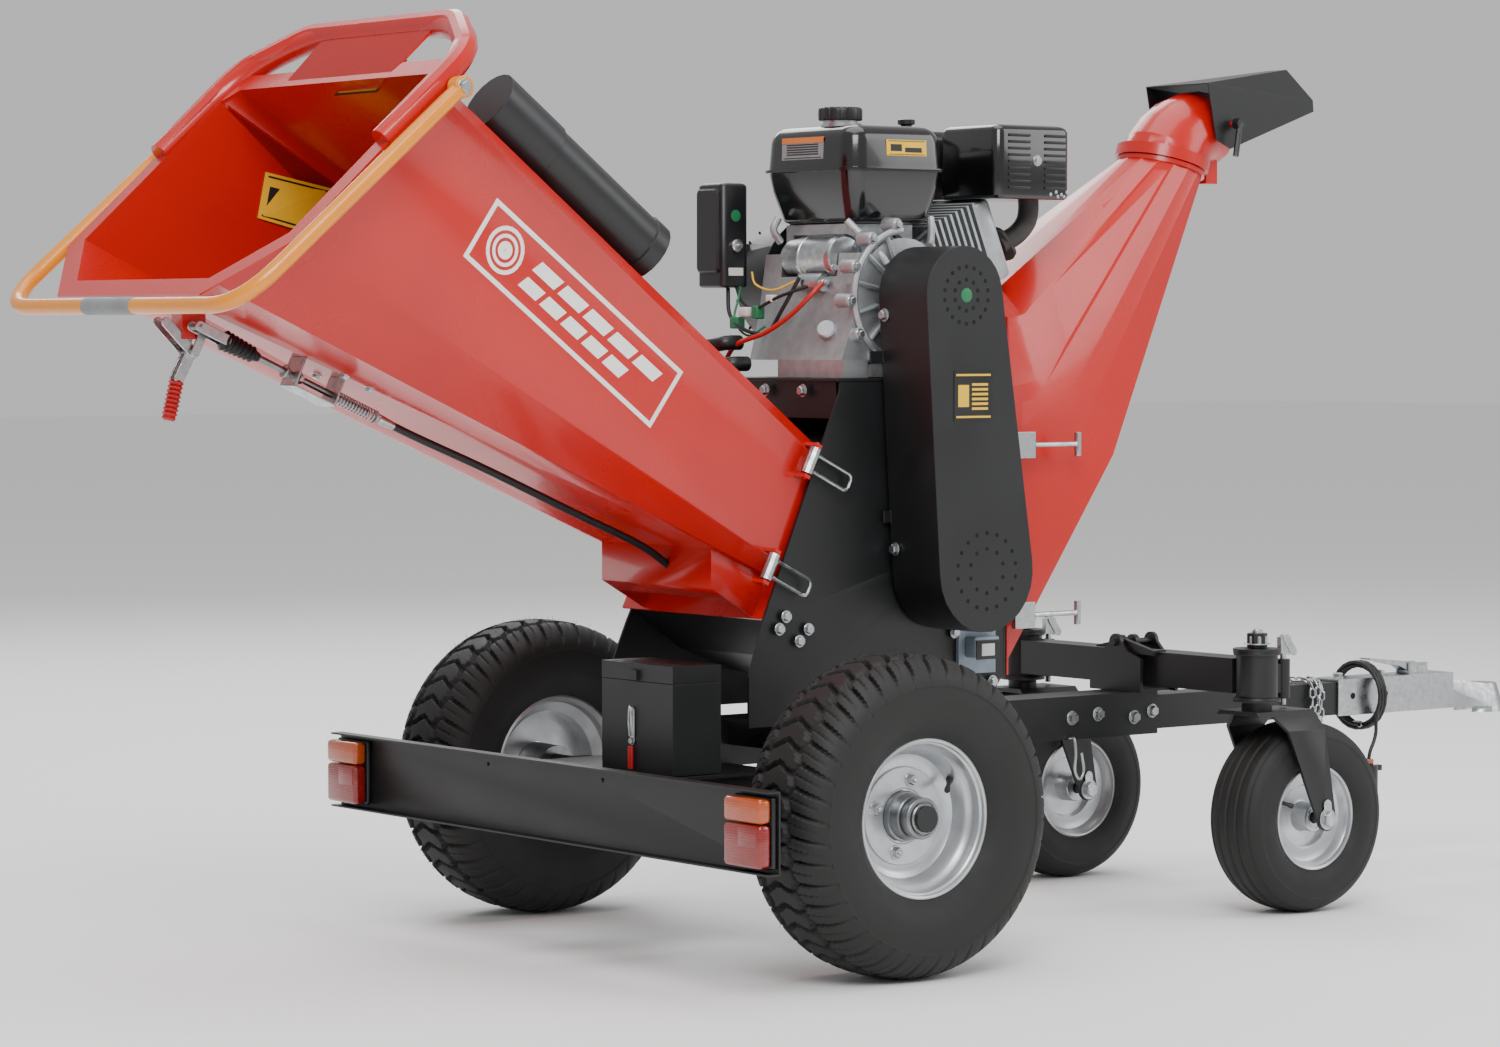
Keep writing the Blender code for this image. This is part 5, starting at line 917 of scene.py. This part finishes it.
bolts("linkNuts", [underFloor(0.196), underFloor(0.222), underFloor(0.372)], along, "hopper", 0.014, 0.008)
coilSpring = helix(underFloor(0.292), underFloor(0.368), 0.0092, 13)
tube("linkSpring", coilSpring, 0.0013, "zinc", "hopper", 8)
bolts("floorBolts", [underFloor(0.28, -0.0005, -0.06), underFloor(0.33, -0.0005, -0.06),
        underFloor(0.28, -0.0005, 0.02)], down, "hopper", 0.012, 0.006)
cable = spline([underFloor(0.385), underFloor(0.46, 0.029), underFloor(0.6, 0.024), underFloor(0.78, 0.022),
        underFloor(0.92, 0.02), underFloor(0.99)], 8)
tube("linkCable", cable, 0.0062, "cable", "hopper", 14)
turned("cableFerrule", [(0.0075, 0), (0.0078, 0.004), (0.007, 0.022), (0.0062, 0.03)], underFloor(0.38),
    along, "zinc", "hopper", 18)

# stop lever: two straps and a ribbed grip
grip = [(0.0001, 0.0), (0.0085, 0.0), (0.0095, 0.002)]
for k in range(8):
    grip += [(0.0122, 0.004 + 0.0068 * k), (0.0092, 0.0078 + 0.0068 * k)]
grip += [(0.011, 0.059), (0.008, 0.062), (0.0001, 0.0625)]
gripWay = np.array([-1.006, 0, 0.868]) - np.array([-0.991, 0, 0.929])
together("stopGrip", [turnedShape(grip, (-0.991, 0, 0.929), gripWay, 24)], "grip", "stop_lever")
straps = together("stopLeverStraps", [flatBar((-0.97, y, 0.97), (-0.9905, y, 0.931), 0.017, 0.003,
            (0, -1, 0)) for y in (-0.007, 0.007)] + hexBolt((-0.97, -0.0085, 0.97), (0, -1, 0), 0.013, 0.005)
    + hexBolt((-0.97, 0.0085, 0.97), (0, 1, 0), 0.013, 0.005)
    + [plug([(0.006, -0.009), (0.006, 0.009)], (-0.97, 0, 0.97), (0, 1, 0), 16)], "zinc", "stop_lever")
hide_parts("stop_lever")
together("stopToggle", [flatBar((-0.9705, y, 0.9705), (-1.015, y, 1.015), 0.016, 0.003, (0, -1, 0))
        for y in (-0.0125, 0.0125)] + [flatBar((-0.9695, y, 0.97), (-0.952, y, 1.008), 0.014, 0.003,
            (0, -1, 0)) for y in (-0.0185, 0.0185)], "zinc", "hopper")
print("hopper detailed")

# engine
tank = {"centre": (0.284, -0.029, 0), "half": (0.104, 0.121), "corner": 0.034}
tankLevels = [(0.06, 1.18), (0.03, 1.1803), (0.0235, 1.183), (0.0195, 1.1885), (0.006, 1.235),
    (0.0022, 1.256), (0.001, 1.264), (-0.0048, 1.265), (-0.005, 1.2668), (-0.005, 1.2685), (-0.0048, 1.27),
    (0.0004, 1.2708), (0.001, 1.278), (0.0035, 1.314), (0.006, 1.324), (0.011, 1.332), (0.019, 1.3376),
    (0.03, 1.3398), (0.06, 1.3405)]
made = together("fuelTank", [shell(tankLevels, tank["centre"], tank["half"], tank["corner"], steps=12)],
    "gloss", "frame", 50)
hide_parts("fuel_tank")
capAxis = (0.245, -0.04, 0)
turned("fuelNeck", [(0.033, 1.339), (0.033, 1.344), (0.029, 1.3445), (0.029, 1.35)], capAxis, (0, 0, 1),
    "zinc", "frame", 40)
cap = [(0.0005, 1.35), (0.035, 1.35), (0.0364, 1.3515), (0.0366, 1.356), (0.0366, 1.366), (0.0358, 1.37),
    (0.033, 1.3718), (0.03, 1.3712), (0.028, 1.3722), (0.0005, 1.373)]
made = ringed("fuelCap", cap, capAxis, "plastic", "fuel_cap", 160, "z", 35,
    lambda angle, along, radius: -0.0011 * (np.cos(angle * 20) < 0.1) * (radius > 0.034))
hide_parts("fuel_cap")
together("breather", [turnedShape([(0.0001, 1.3395), (0.02, 1.3395), (0.02, 1.344), (0.018, 1.35),
                (0.011, 1.353), (0.0001, 1.3535)], (0.333, 0.042, 0), (0, 0, 1), 32)], "plastic", "frame")
label("tankLabelLight", [(0.1822, 0.0363, 1.285), (0.1822, -0.074, 1.285), (0.1832, -0.074, 1.319),
        (0.1832, 0.0363, 1.319)], "greyTape", "plastic", "frame", 5, False)
together("tankLabelBand", [patch([(0.183, 0.0363, 1.312), (0.183, -0.074, 1.312), (0.1836, -0.074, 1.3215),
                (0.1836, 0.0363, 1.3215)], lift=0.0014)], "amberLabel", "frame")
label("tankLabelYellow", [(0.2555, -0.1484, 1.29), (0.34, -0.1484, 1.29), (0.34, -0.147, 1.316),
        (0.2555, -0.147, 1.316)], "signYellow", "plastic", "frame", 1)

muffler = {"centre": (0.5575, -0.094, 0), "half": (0.0825, 0.076), "corner": 0.016}
made = together("mufflerShield", [shell([(0.02, 1.2232), (0.004, 1.2235), (0.001, 1.226), (0, 1.23),
                (0, 1.336), (0.003, 1.3425), (0.009, 1.346), (0.018, 1.3478), (0.05, 1.348)],
            muffler["centre"], muffler["half"], muffler["corner"])], "gloss", "frame", 45)
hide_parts("muffler")
louvres = []
for x0, x1 in ((0.5, 0.548), (0.58, 0.628)):
    for z in np.linspace(1.242, 1.33, 9):
        louvres.append(slab((x0, -0.1722, z - 0.0022), (x1, -0.169, z + 0.0022), 0.001))
together("mufflerLouvres", louvres, "plastic", "frame")
discs("mufflerHoles", [(x, -0.17, z) for x, z in ((0.606, 1.236), (0.618, 1.232), (0.63, 1.236),
            (0.594, 1.232), (0.624, 1.2285), (0.61, 1.2285))], (0, -1, 0), 0.003, "alu", "frame")
bolts("mufflerBolt", [(0.564, -0.17, 1.288)], (0, -1, 0), "frame", 0.012, 0.004)
pipe = spline([(0.605, -0.1, 1.226), (0.605, -0.1, 1.205), (0.6, -0.098, 1.185), (0.585, -0.09, 1.165),
        (0.56, -0.08, 1.15)], 8)
tube("exhaustPipe", pipe, 0.0175, "castIron", "frame", 24)
together("exhaustFlange", [shell([(0.001, -0.004), (0, -0.003), (0, 0.003), (0.001, 0.004)],
            (0.56, -0.08, 1.15), (0.034, 0.02), 0.018, unitTo((0.7, 0.3, 0.6)))], "castIron", "frame")

engineBoxes = {"airCleaner": ("air_cleaner",
        [(0.016, 1.225), (0.003, 1.2255), (0, 1.229), (0, 1.27), (-0.0015, 1.2705), (-0.0015, 1.276),
            (0.0008, 1.2765), (0.0012, 1.325), (0.005, 1.335), (0.013, 1.3405), (0.026, 1.3418),
            (0.05, 1.342)], (0.4875, 0.075, 0), (0.0825, 0.075), 0.026),
    "controlBox": ("control_box", [(0.012, 1.0745), (0.003, 1.075), (0, 1.078), (0, 1.244), (0.003, 1.248),
            (0.009, 1.25), (0.02, 1.25)], (0.145, 0.1505, 0), (0.028, 0.0355), 0.01)}
for name, (node, levels, centre, half, corner) in engineBoxes.items():
    made = together(name, [shell(levels, centre, half, corner)], "plastic", "frame", 45)
    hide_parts(node)
turned("cleanerKnob", [(0.024, 1.3415), (0.023, 1.345), (0.01, 1.347), (0.0095, 1.354), (0.015, 1.356),
        (0.015, 1.363), (0.013, 1.364)], (0.485, 0.08, 0), (0, 0, 1), "plastic", "frame", 32)
together("controlLid", [shell([(0.002, -0.002), (0, -0.001), (0, 0.003), (0.003, 0.006)],
            (0.1165, 0.1505, 1.17), (0.07, 0.03), 0.008,
            np.array([[0, 0, -1.0], [0, 1.0, 0], [1.0, 0, 0]]))], "cable", "frame")
discs("controlSeal", [(0.145, 0.1148, 1.195)], (0, -1, 0), 0.01, "green", "frame")
together("controlTag", [patch([(0.13, 0.1148, 1.095), (0.16, 0.1148, 1.095), (0.16, 0.1148, 1.108),
                (0.13, 0.1148, 1.108)])], "paper", "frame")
turned("ignitionSwitch", [(0.011, 0), (0.011, 0.006), (0.008, 0.008), (0.003, 0.008), (0.003, 0.016)],
    (0.145, 0.115, 1.145), (0, -1, 0), "zinc", "frame")

sx, sz = 0.205, 1.124  # axis of the starter motor
made = together("starterMotor", [plug([(0.025, -0.104), (0.033, -0.1025), (0.0366, -0.098), (0.0372, -0.09),
                (0.0362, -0.0895), (0.0362, -0.024), (0.0374, -0.023), (0.0374, -0.015), (0.0366, -0.014),
                (0.03, 0.03), (0.024, 0.04)], (sx, 0, sz), (0, 1, 0), 48),
        turnedShape([(0.0001, -0.086), (0.015, -0.086), (0.016, -0.084), (0.016, -0.03), (0.0001, -0.029)],
            (sx - 0.03, 0, sz - 0.042), (0, 1, 0), 28),
        plug([(0.0035, -0.095), (0.0035, -0.085)], (sx - 0.03, 0, sz - 0.042), (0, 1, 0), 12)], "zinc",
    "frame", 40)
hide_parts("starter_motor")
bolts("starterBolts", [(sx, -0.104, sz), (sx + 0.022, -0.102, sz + 0.018), (sx - 0.022, -0.102, sz - 0.018),
        (sx - 0.03, -0.087, sz - 0.042)], (0, -1, 0), "frame", 0.009, 0.004)

crank = (0.279, 1.06)


def onCase(radius, degrees, y):
    # a point on the crankcase cover, round the crank's axis
    angle = math.radians(degrees)
    return (crank[0] + radius * math.cos(angle), y, crank[1] + radius * math.sin(angle))


caseBolts = {"circle": 0.118, "angles": [100, 128, 156, 184, 212, 238]}
bosses = [plug([(0.0125, -0.02), (0.011, 0.0085), (0.0095, 0.0105)],
        onCase(caseBolts["circle"], angle, -0.164), (0, -1, 0), 20) for angle in caseBolts["angles"]]
bosses.append(sweep([onCase(0.108, angle, -0.17) for angle in np.linspace(95, 250, 30)], 0.006, 10))
for angle in (112, 140, 168, 196, 224):
    bosses.append(sweep(np.linspace(onCase(0.06, angle, -0.169), onCase(0.106, angle, -0.169), 4), 0.004, 8))
together("crankcaseCover", bosses, "alu", "frame")
bolts("crankcaseBolts", [onCase(caseBolts["circle"], angle, -0.1745) for angle in caseBolts["angles"]],
    (0, -1, 0), "frame", 0.011, 0.005)
together("tankBrackets", [sweep(spline(path, 6), 0.0065, 10)
        for path in ([(0.19, -0.125, 1.183), (0.208, -0.14, 1.16), (0.23, -0.16, 1.13),
                (0.24, -0.168, 1.112)], [(0.36, -0.135, 1.19), (0.356, -0.142, 1.172), (0.34, -0.16, 1.15),
                (0.328, -0.17, 1.142)], [(0.185, 0.05, 1.19), (0.175, 0.05, 1.17), (0.19, 0.05, 1.15)])],
    "alu", "frame")
turned("oilPlug", [(0.014, -0.012), (0.013, 0.014), (0.0165, 0.015), (0.0165, 0.024), (0.014, 0.027)],
    (0.175, -0.1, 0.995), (-0.7, -0.5, 0.45), "alu", "frame")
bolts("engineFeet", [(0.16, -0.14, 0.9548), (0.16, -0.04, 0.9548), (0.16, 0.06, 0.9548)], (0, 0, 1), "frame",
    0.015, 0.008)
bolts("deckBolts", [(0.1198, -0.1, 0.905), (0.1198, 0.0, 0.905), (0.1198, 0.1, 0.905)], (-1, 0, 0), "frame",
    0.014, 0.007)
wires = {"wireBlackA": ("cable", 0.0028,
        [(0.15, 0.12, 1.076), (0.14, 0.09, 1.05), (0.13, 0.04, 1.04), (0.135, -0.02, 1.06),
            (0.17, -0.07, 1.08)]), "wireBlackB": ("cable", 0.0034,
        [(0.14, 0.13, 1.076), (0.125, 0.105, 1.03), (0.12, 0.06, 1.005), (0.13, 0.01, 1.0),
            (0.14, -0.02, 1.04), (0.155, -0.045, 1.09)]),
    "wireGreen": ("green", 0.002, [(0.155, 0.115, 1.076), (0.135, 0.095, 1.055), (0.12, 0.085, 1.02),
            (0.128, 0.06, 0.995), (0.15, 0.04, 1.01)]),
    "wireYellow": ("signYellow", 0.0018,
        [(0.16, 0.09, 1.1), (0.145, 0.06, 1.08), (0.15, 0.02, 1.07), (0.175, -0.01, 1.085)]),
    "batteryCable": ("redWire", 0.0042, [(0.172, -0.086, 1.082), (0.15, -0.08, 1.06), (0.135, -0.05, 1.03),
            (0.12, 0.0, 1.0), (0.105, 0.06, 0.98), (0.11, 0.1, 0.95), (0.115, 0.13, 0.93)]),
    "fuelHose": ("cable", 0.0045, [(0.3, -0.09, 1.183), (0.305, -0.11, 1.16), (0.33, -0.12, 1.15),
            (0.37, -0.115, 1.17)])}
for name, (finish, radius, path) in wires.items():
    tube(name, spline(path, 8), radius, finish, "frame", 10)
together("wireJoiners", [slab((0.118, 0.076, 1.006), (0.136, 0.098, 1.026), 0.003),
        slab((0.124, 0.03, 1.022), (0.142, 0.046, 1.044), 0.003)], "green", "frame")
together("wirePlugs", [slab((0.116, 0.05, 1.026), (0.132, 0.07, 1.042), 0.003),
        slab((0.128, -0.006, 1.05), (0.14, 0.012, 1.062), 0.002)], "paper", "frame")
together("carburettor", [plug([(0.023, 0), (0.024, 0.006), (0.018, 0.01), (0.018, 0.05), (0.023, 0.052),
                (0.023, 0.06)], (0.43, 0.065, 1.17), (0, 0, 1), 28),
        plug([(0.02, 0), (0.019, 0.022), (0.01, 0.028)], (0.43, 0.065, 1.17), (0, 0, -1), 28)], "alu",
    "frame")
together("deckTubes", [sweep(spline([(0.119, y, z), (0.095, y, z), (0.085, y + 0.01, z - 0.002),
                    (0.08, y + 0.05, z - 0.006), (0.085, y + 0.1, z - 0.01)], 6), 0.0125, 16)
        for y, z in ((0.07, 0.983), (0.05, 0.948))], "black", "frame")
recoil = (0.305, 1.08)
grille = []
for radius, count in ((0.05, 12), (0.074, 18), (0.096, 24)):
    for k in range(count):
        a = tau * k / count
        spot = np.array([recoil[0] + radius * math.cos(a), 0.1905 if radius > 0.072 else 0.2185, recoil[1]
                + radius * math.sin(a)])
        radial = np.array([math.cos(a), 0, math.sin(a)])
        grille.append(flatBar(spot - radial * 0.007, spot + radial * 0.007, 0.005, 0.0016, (0, 1, 0)))
together("recoilSlots", grille, "cable", "frame")
together("recoilHandle", [slab((0.2, 0.192, 1.175), (0.216, 0.208, 1.225), 0.006)], "cable", "frame")
print("engine detailed")

# belt guard: two rings of vent holes drawn as near-black discs, which are painted shade for the dark inside
# of each hole, a seal and a plain plate
guardTop, guardFace = (0.2823, 1.06), -0.32
for name, (x, z), outer, inner in (("guardVentShadeTop", guardTop, 0.046, 0.025),
                                   ("guardVentShadeLow", (0.3269, 0.613), 0.062, 0.036)):
    ringSpots = [(x + r * math.sin(tau * k / n), guardFace, z + r * math.cos(tau * k / n))
        for r, n in ((outer, 18), (inner, 10)) for k in range(n)]
    discs(name, ringSpots, (0, -1, 0), 0.0036, "holeShade", "frame", 0.0003)
discs("guardSeal", [(guardTop[0], guardFace, guardTop[1])], (0, -1, 0), 0.0115, "green", "frame")
label("guardPlate", [(0.2561, -0.3202, 0.8572), (0.3367, -0.3202, 0.8572), (0.3367, -0.3202, 0.9378),
        (0.2561, -0.3202, 0.9378)], "plastic", "signYellow", "frame", 6)
bolts("guardBolts", [(0.2, -0.212, 1.0282), (0.224, -0.211, 0.6475)], (-1, 0, 0), "frame", 0.014, 0.007)
bolts("sideBolts", [(x, -0.1966, z) for x, z in ((-0.0036, 0.5254), (0.0555, 0.5229), (0.0371, 0.5044),
            (0.01, 0.545), (0.3624, 0.5051), (0.445, 0.533), (0.445, 0.42), (0.36, 0.533))], (0, -1, 0),
    "frame", 0.013, 0.006)
bolts("sideBoltsFar", [(x, 0.1966, z) for x, z in ((-0.0036, 0.5254), (0.0555, 0.5229), (0.3624, 0.5051),
            (0.445, 0.42))], (0, 1, 0), "frame", 0.013, 0.006)
together("meterWindow", [slab((0.385, -0.2266, 0.46), (0.435, -0.2245, 0.492), 0.0012)], "cable", "frame")
together("meterDial", [slab((0.396, -0.2272, 0.466), (0.424, -0.2262, 0.486), 0.0005)], "paper", "frame")

# frame bolts, drawbar and coupler
beamSpots = [(0.7614, 0.3302), (0.822, 0.3339), (0.907, 0.3241), (0.95, 0.333)]
bolts("beamBolts", [(x, -0.0402, z) for x, z in beamSpots], (0, -1, 0), "frame", 0.016, 0.008)
bolts("beamBoltsFar", [(x, 0.0402, z) for x, z in beamSpots[:3]], (0, 1, 0), "frame", 0.016, 0.008)
bolts("couplerBolts", [(1.45, 0, 0.3642), (1.56, 0, 0.3642)], (0, 0, 1), "frame", 0.017, 0.008)
# the coupler's two holes are near-black discs: painted shade for the dark inside of each hole
discs("couplerHoleShade", [(1.455, -0.0347, 0.333), (1.54, -0.0347, 0.333)], (0, -1, 0), 0.0062, "holeShade", "frame",
    0.0002)
pin = spline([(0.753, -0.042, 0.296), (0.753, -0.056, 0.295), (0.753, -0.06, 0.27), (0.753, -0.058, 0.24),
        (0.765, -0.057, 0.225), (0.775, -0.056, 0.24), (0.77, -0.056, 0.27)], 6)
tube("hitchPin", pin, 0.0022, "zinc", "frame", 8)
for tag, side in sides:
    y = side * casterWheel["y"]
    together("lockHandle." + tag, [flatBar((1.012, y + step, 0.474), (1.03, y + step, 0.45), 0.014, 0.002,
                (0, 1, 0)) for step in (-0.006, 0.006)], "zinc", "swivel_lock_" + tag)
    together("sleeveRings." + tag, [turnedShape([(0.0365, 0), (0.0405, 0), (0.041, 0.0015), (0.041, 0.0055),
                    (0.04, 0.007), (0.0365, 0.007)], (casterWheel["stemX"], y, z), (0, 0, 1), 40)
            for z in (0.3675, 0.448)], "black", "caster_arm_" + tag)
    together("stemNut." + tag, hexBolt((casterWheel["stemX"], y, 0.466), (0, 0, 1), 0.03, 0.014)
        + [plug([(0.0095, 0.012), (0.0095, 0.024), (0.008, 0.026)], (casterWheel["stemX"], y, 0.466),
                (0, 0, 1), 20)], "zinc", "caster_fork_" + tag)
    for out in (1, -1):
        together("forkAxleNut." + tag + (".outer" if out * side > 0 else ".inner"),
            hexBolt((casterWheel["x"], y + out * 0.0775, casterWheel["z"]), (0, out, 0), 0.024, 0.01)
            + [flatBar((casterWheel["x"], y + out * 0.0795, casterWheel["z"]),
                    (1.04, y + out * 0.0795, 0.19), 0.018, 0.003, (0, float(out), 0))], "zinc",
            "caster_fork_" + tag)
print("frame detailed")

# battery box catch, lid vents and coupler details
catch = [flatBar((-0.2015, -0.0678, 0.348), (-0.2015, -0.0678, 0.396), 0.012, 0.002, (-1, 0, 0)),
    *hexBolt((-0.201, -0.0678, 0.348), (-1, 0, 0), 0.009, 0.004)]
together("boxCatch", catch + [sweep(spline([(-0.204, -0.072, 0.356), (-0.206, -0.072, 0.38),
                    (-0.207, -0.0678, 0.404), (-0.206, -0.0636, 0.38), (-0.204, -0.0636, 0.356)], 5), 0.0013,
            8)], "zinc", "frame")
together("boxCatchTips", [slab((-0.207, -0.0735, 0.303), (-0.203, -0.069, 0.34), 0.0015),
        slab((-0.207, -0.0666, 0.303), (-0.203, -0.0621, 0.34), 0.0015)], "grip", "frame")
together("lidVents", [slab((-0.195, y - 0.0035, 0.4722), (-0.165, y + 0.0035, 0.4732), 0.0005)
        for y in np.linspace(-0.15, -0.006, 7)], "cable", "battery_lid")
print("small parts made")

# studio floor, world and lamps
floorLook = newMaterial("studioFloor", "#F6F6F5", 0.7)[0]
floor = bpy.data.objects.new("floor", bpy.data.meshes.new("floor"))
floor.data.from_pydata([(-40, -40, 0), (40, -40, 0), (40, 40, 0), (-40, 40, 0)], [], [(0, 1, 2, 3)])
floor.data.materials.append(floorLook)
bpy.context.collection.objects.link(floor)
world = bpy.data.worlds.new("studio")
bpy.context.scene.world = world
world.use_nodes = True
world.node_tree.nodes["Background"].inputs["Color"].default_value = (1, 1, 1, 1)
world.node_tree.nodes["Background"].inputs["Strength"].default_value = 0.62
softLights = {"key": ((-3.5, -5.0, 5.5), 3.5, 420), "fill": ((5.0, -4.0, 4.0), 4.0, 160),
    "back": ((2.0, 5.5, 5.0), 4.0, 220), "top": ((0, 0, 6.5), 5.0, 200)}
for name, (spot, size, power) in softLights.items():
    light = bpy.data.objects.new(name, bpy.data.lights.new(name, "AREA"))
    light.data.size = size
    light.data.energy = power
    light.location = spot
    light.rotation_euler = (Vector((0, 0, 0.6)) - Vector(spot)).to_track_quat("-Z", "Y").to_euler()
    bpy.context.collection.objects.link(light)
print("studio lit")
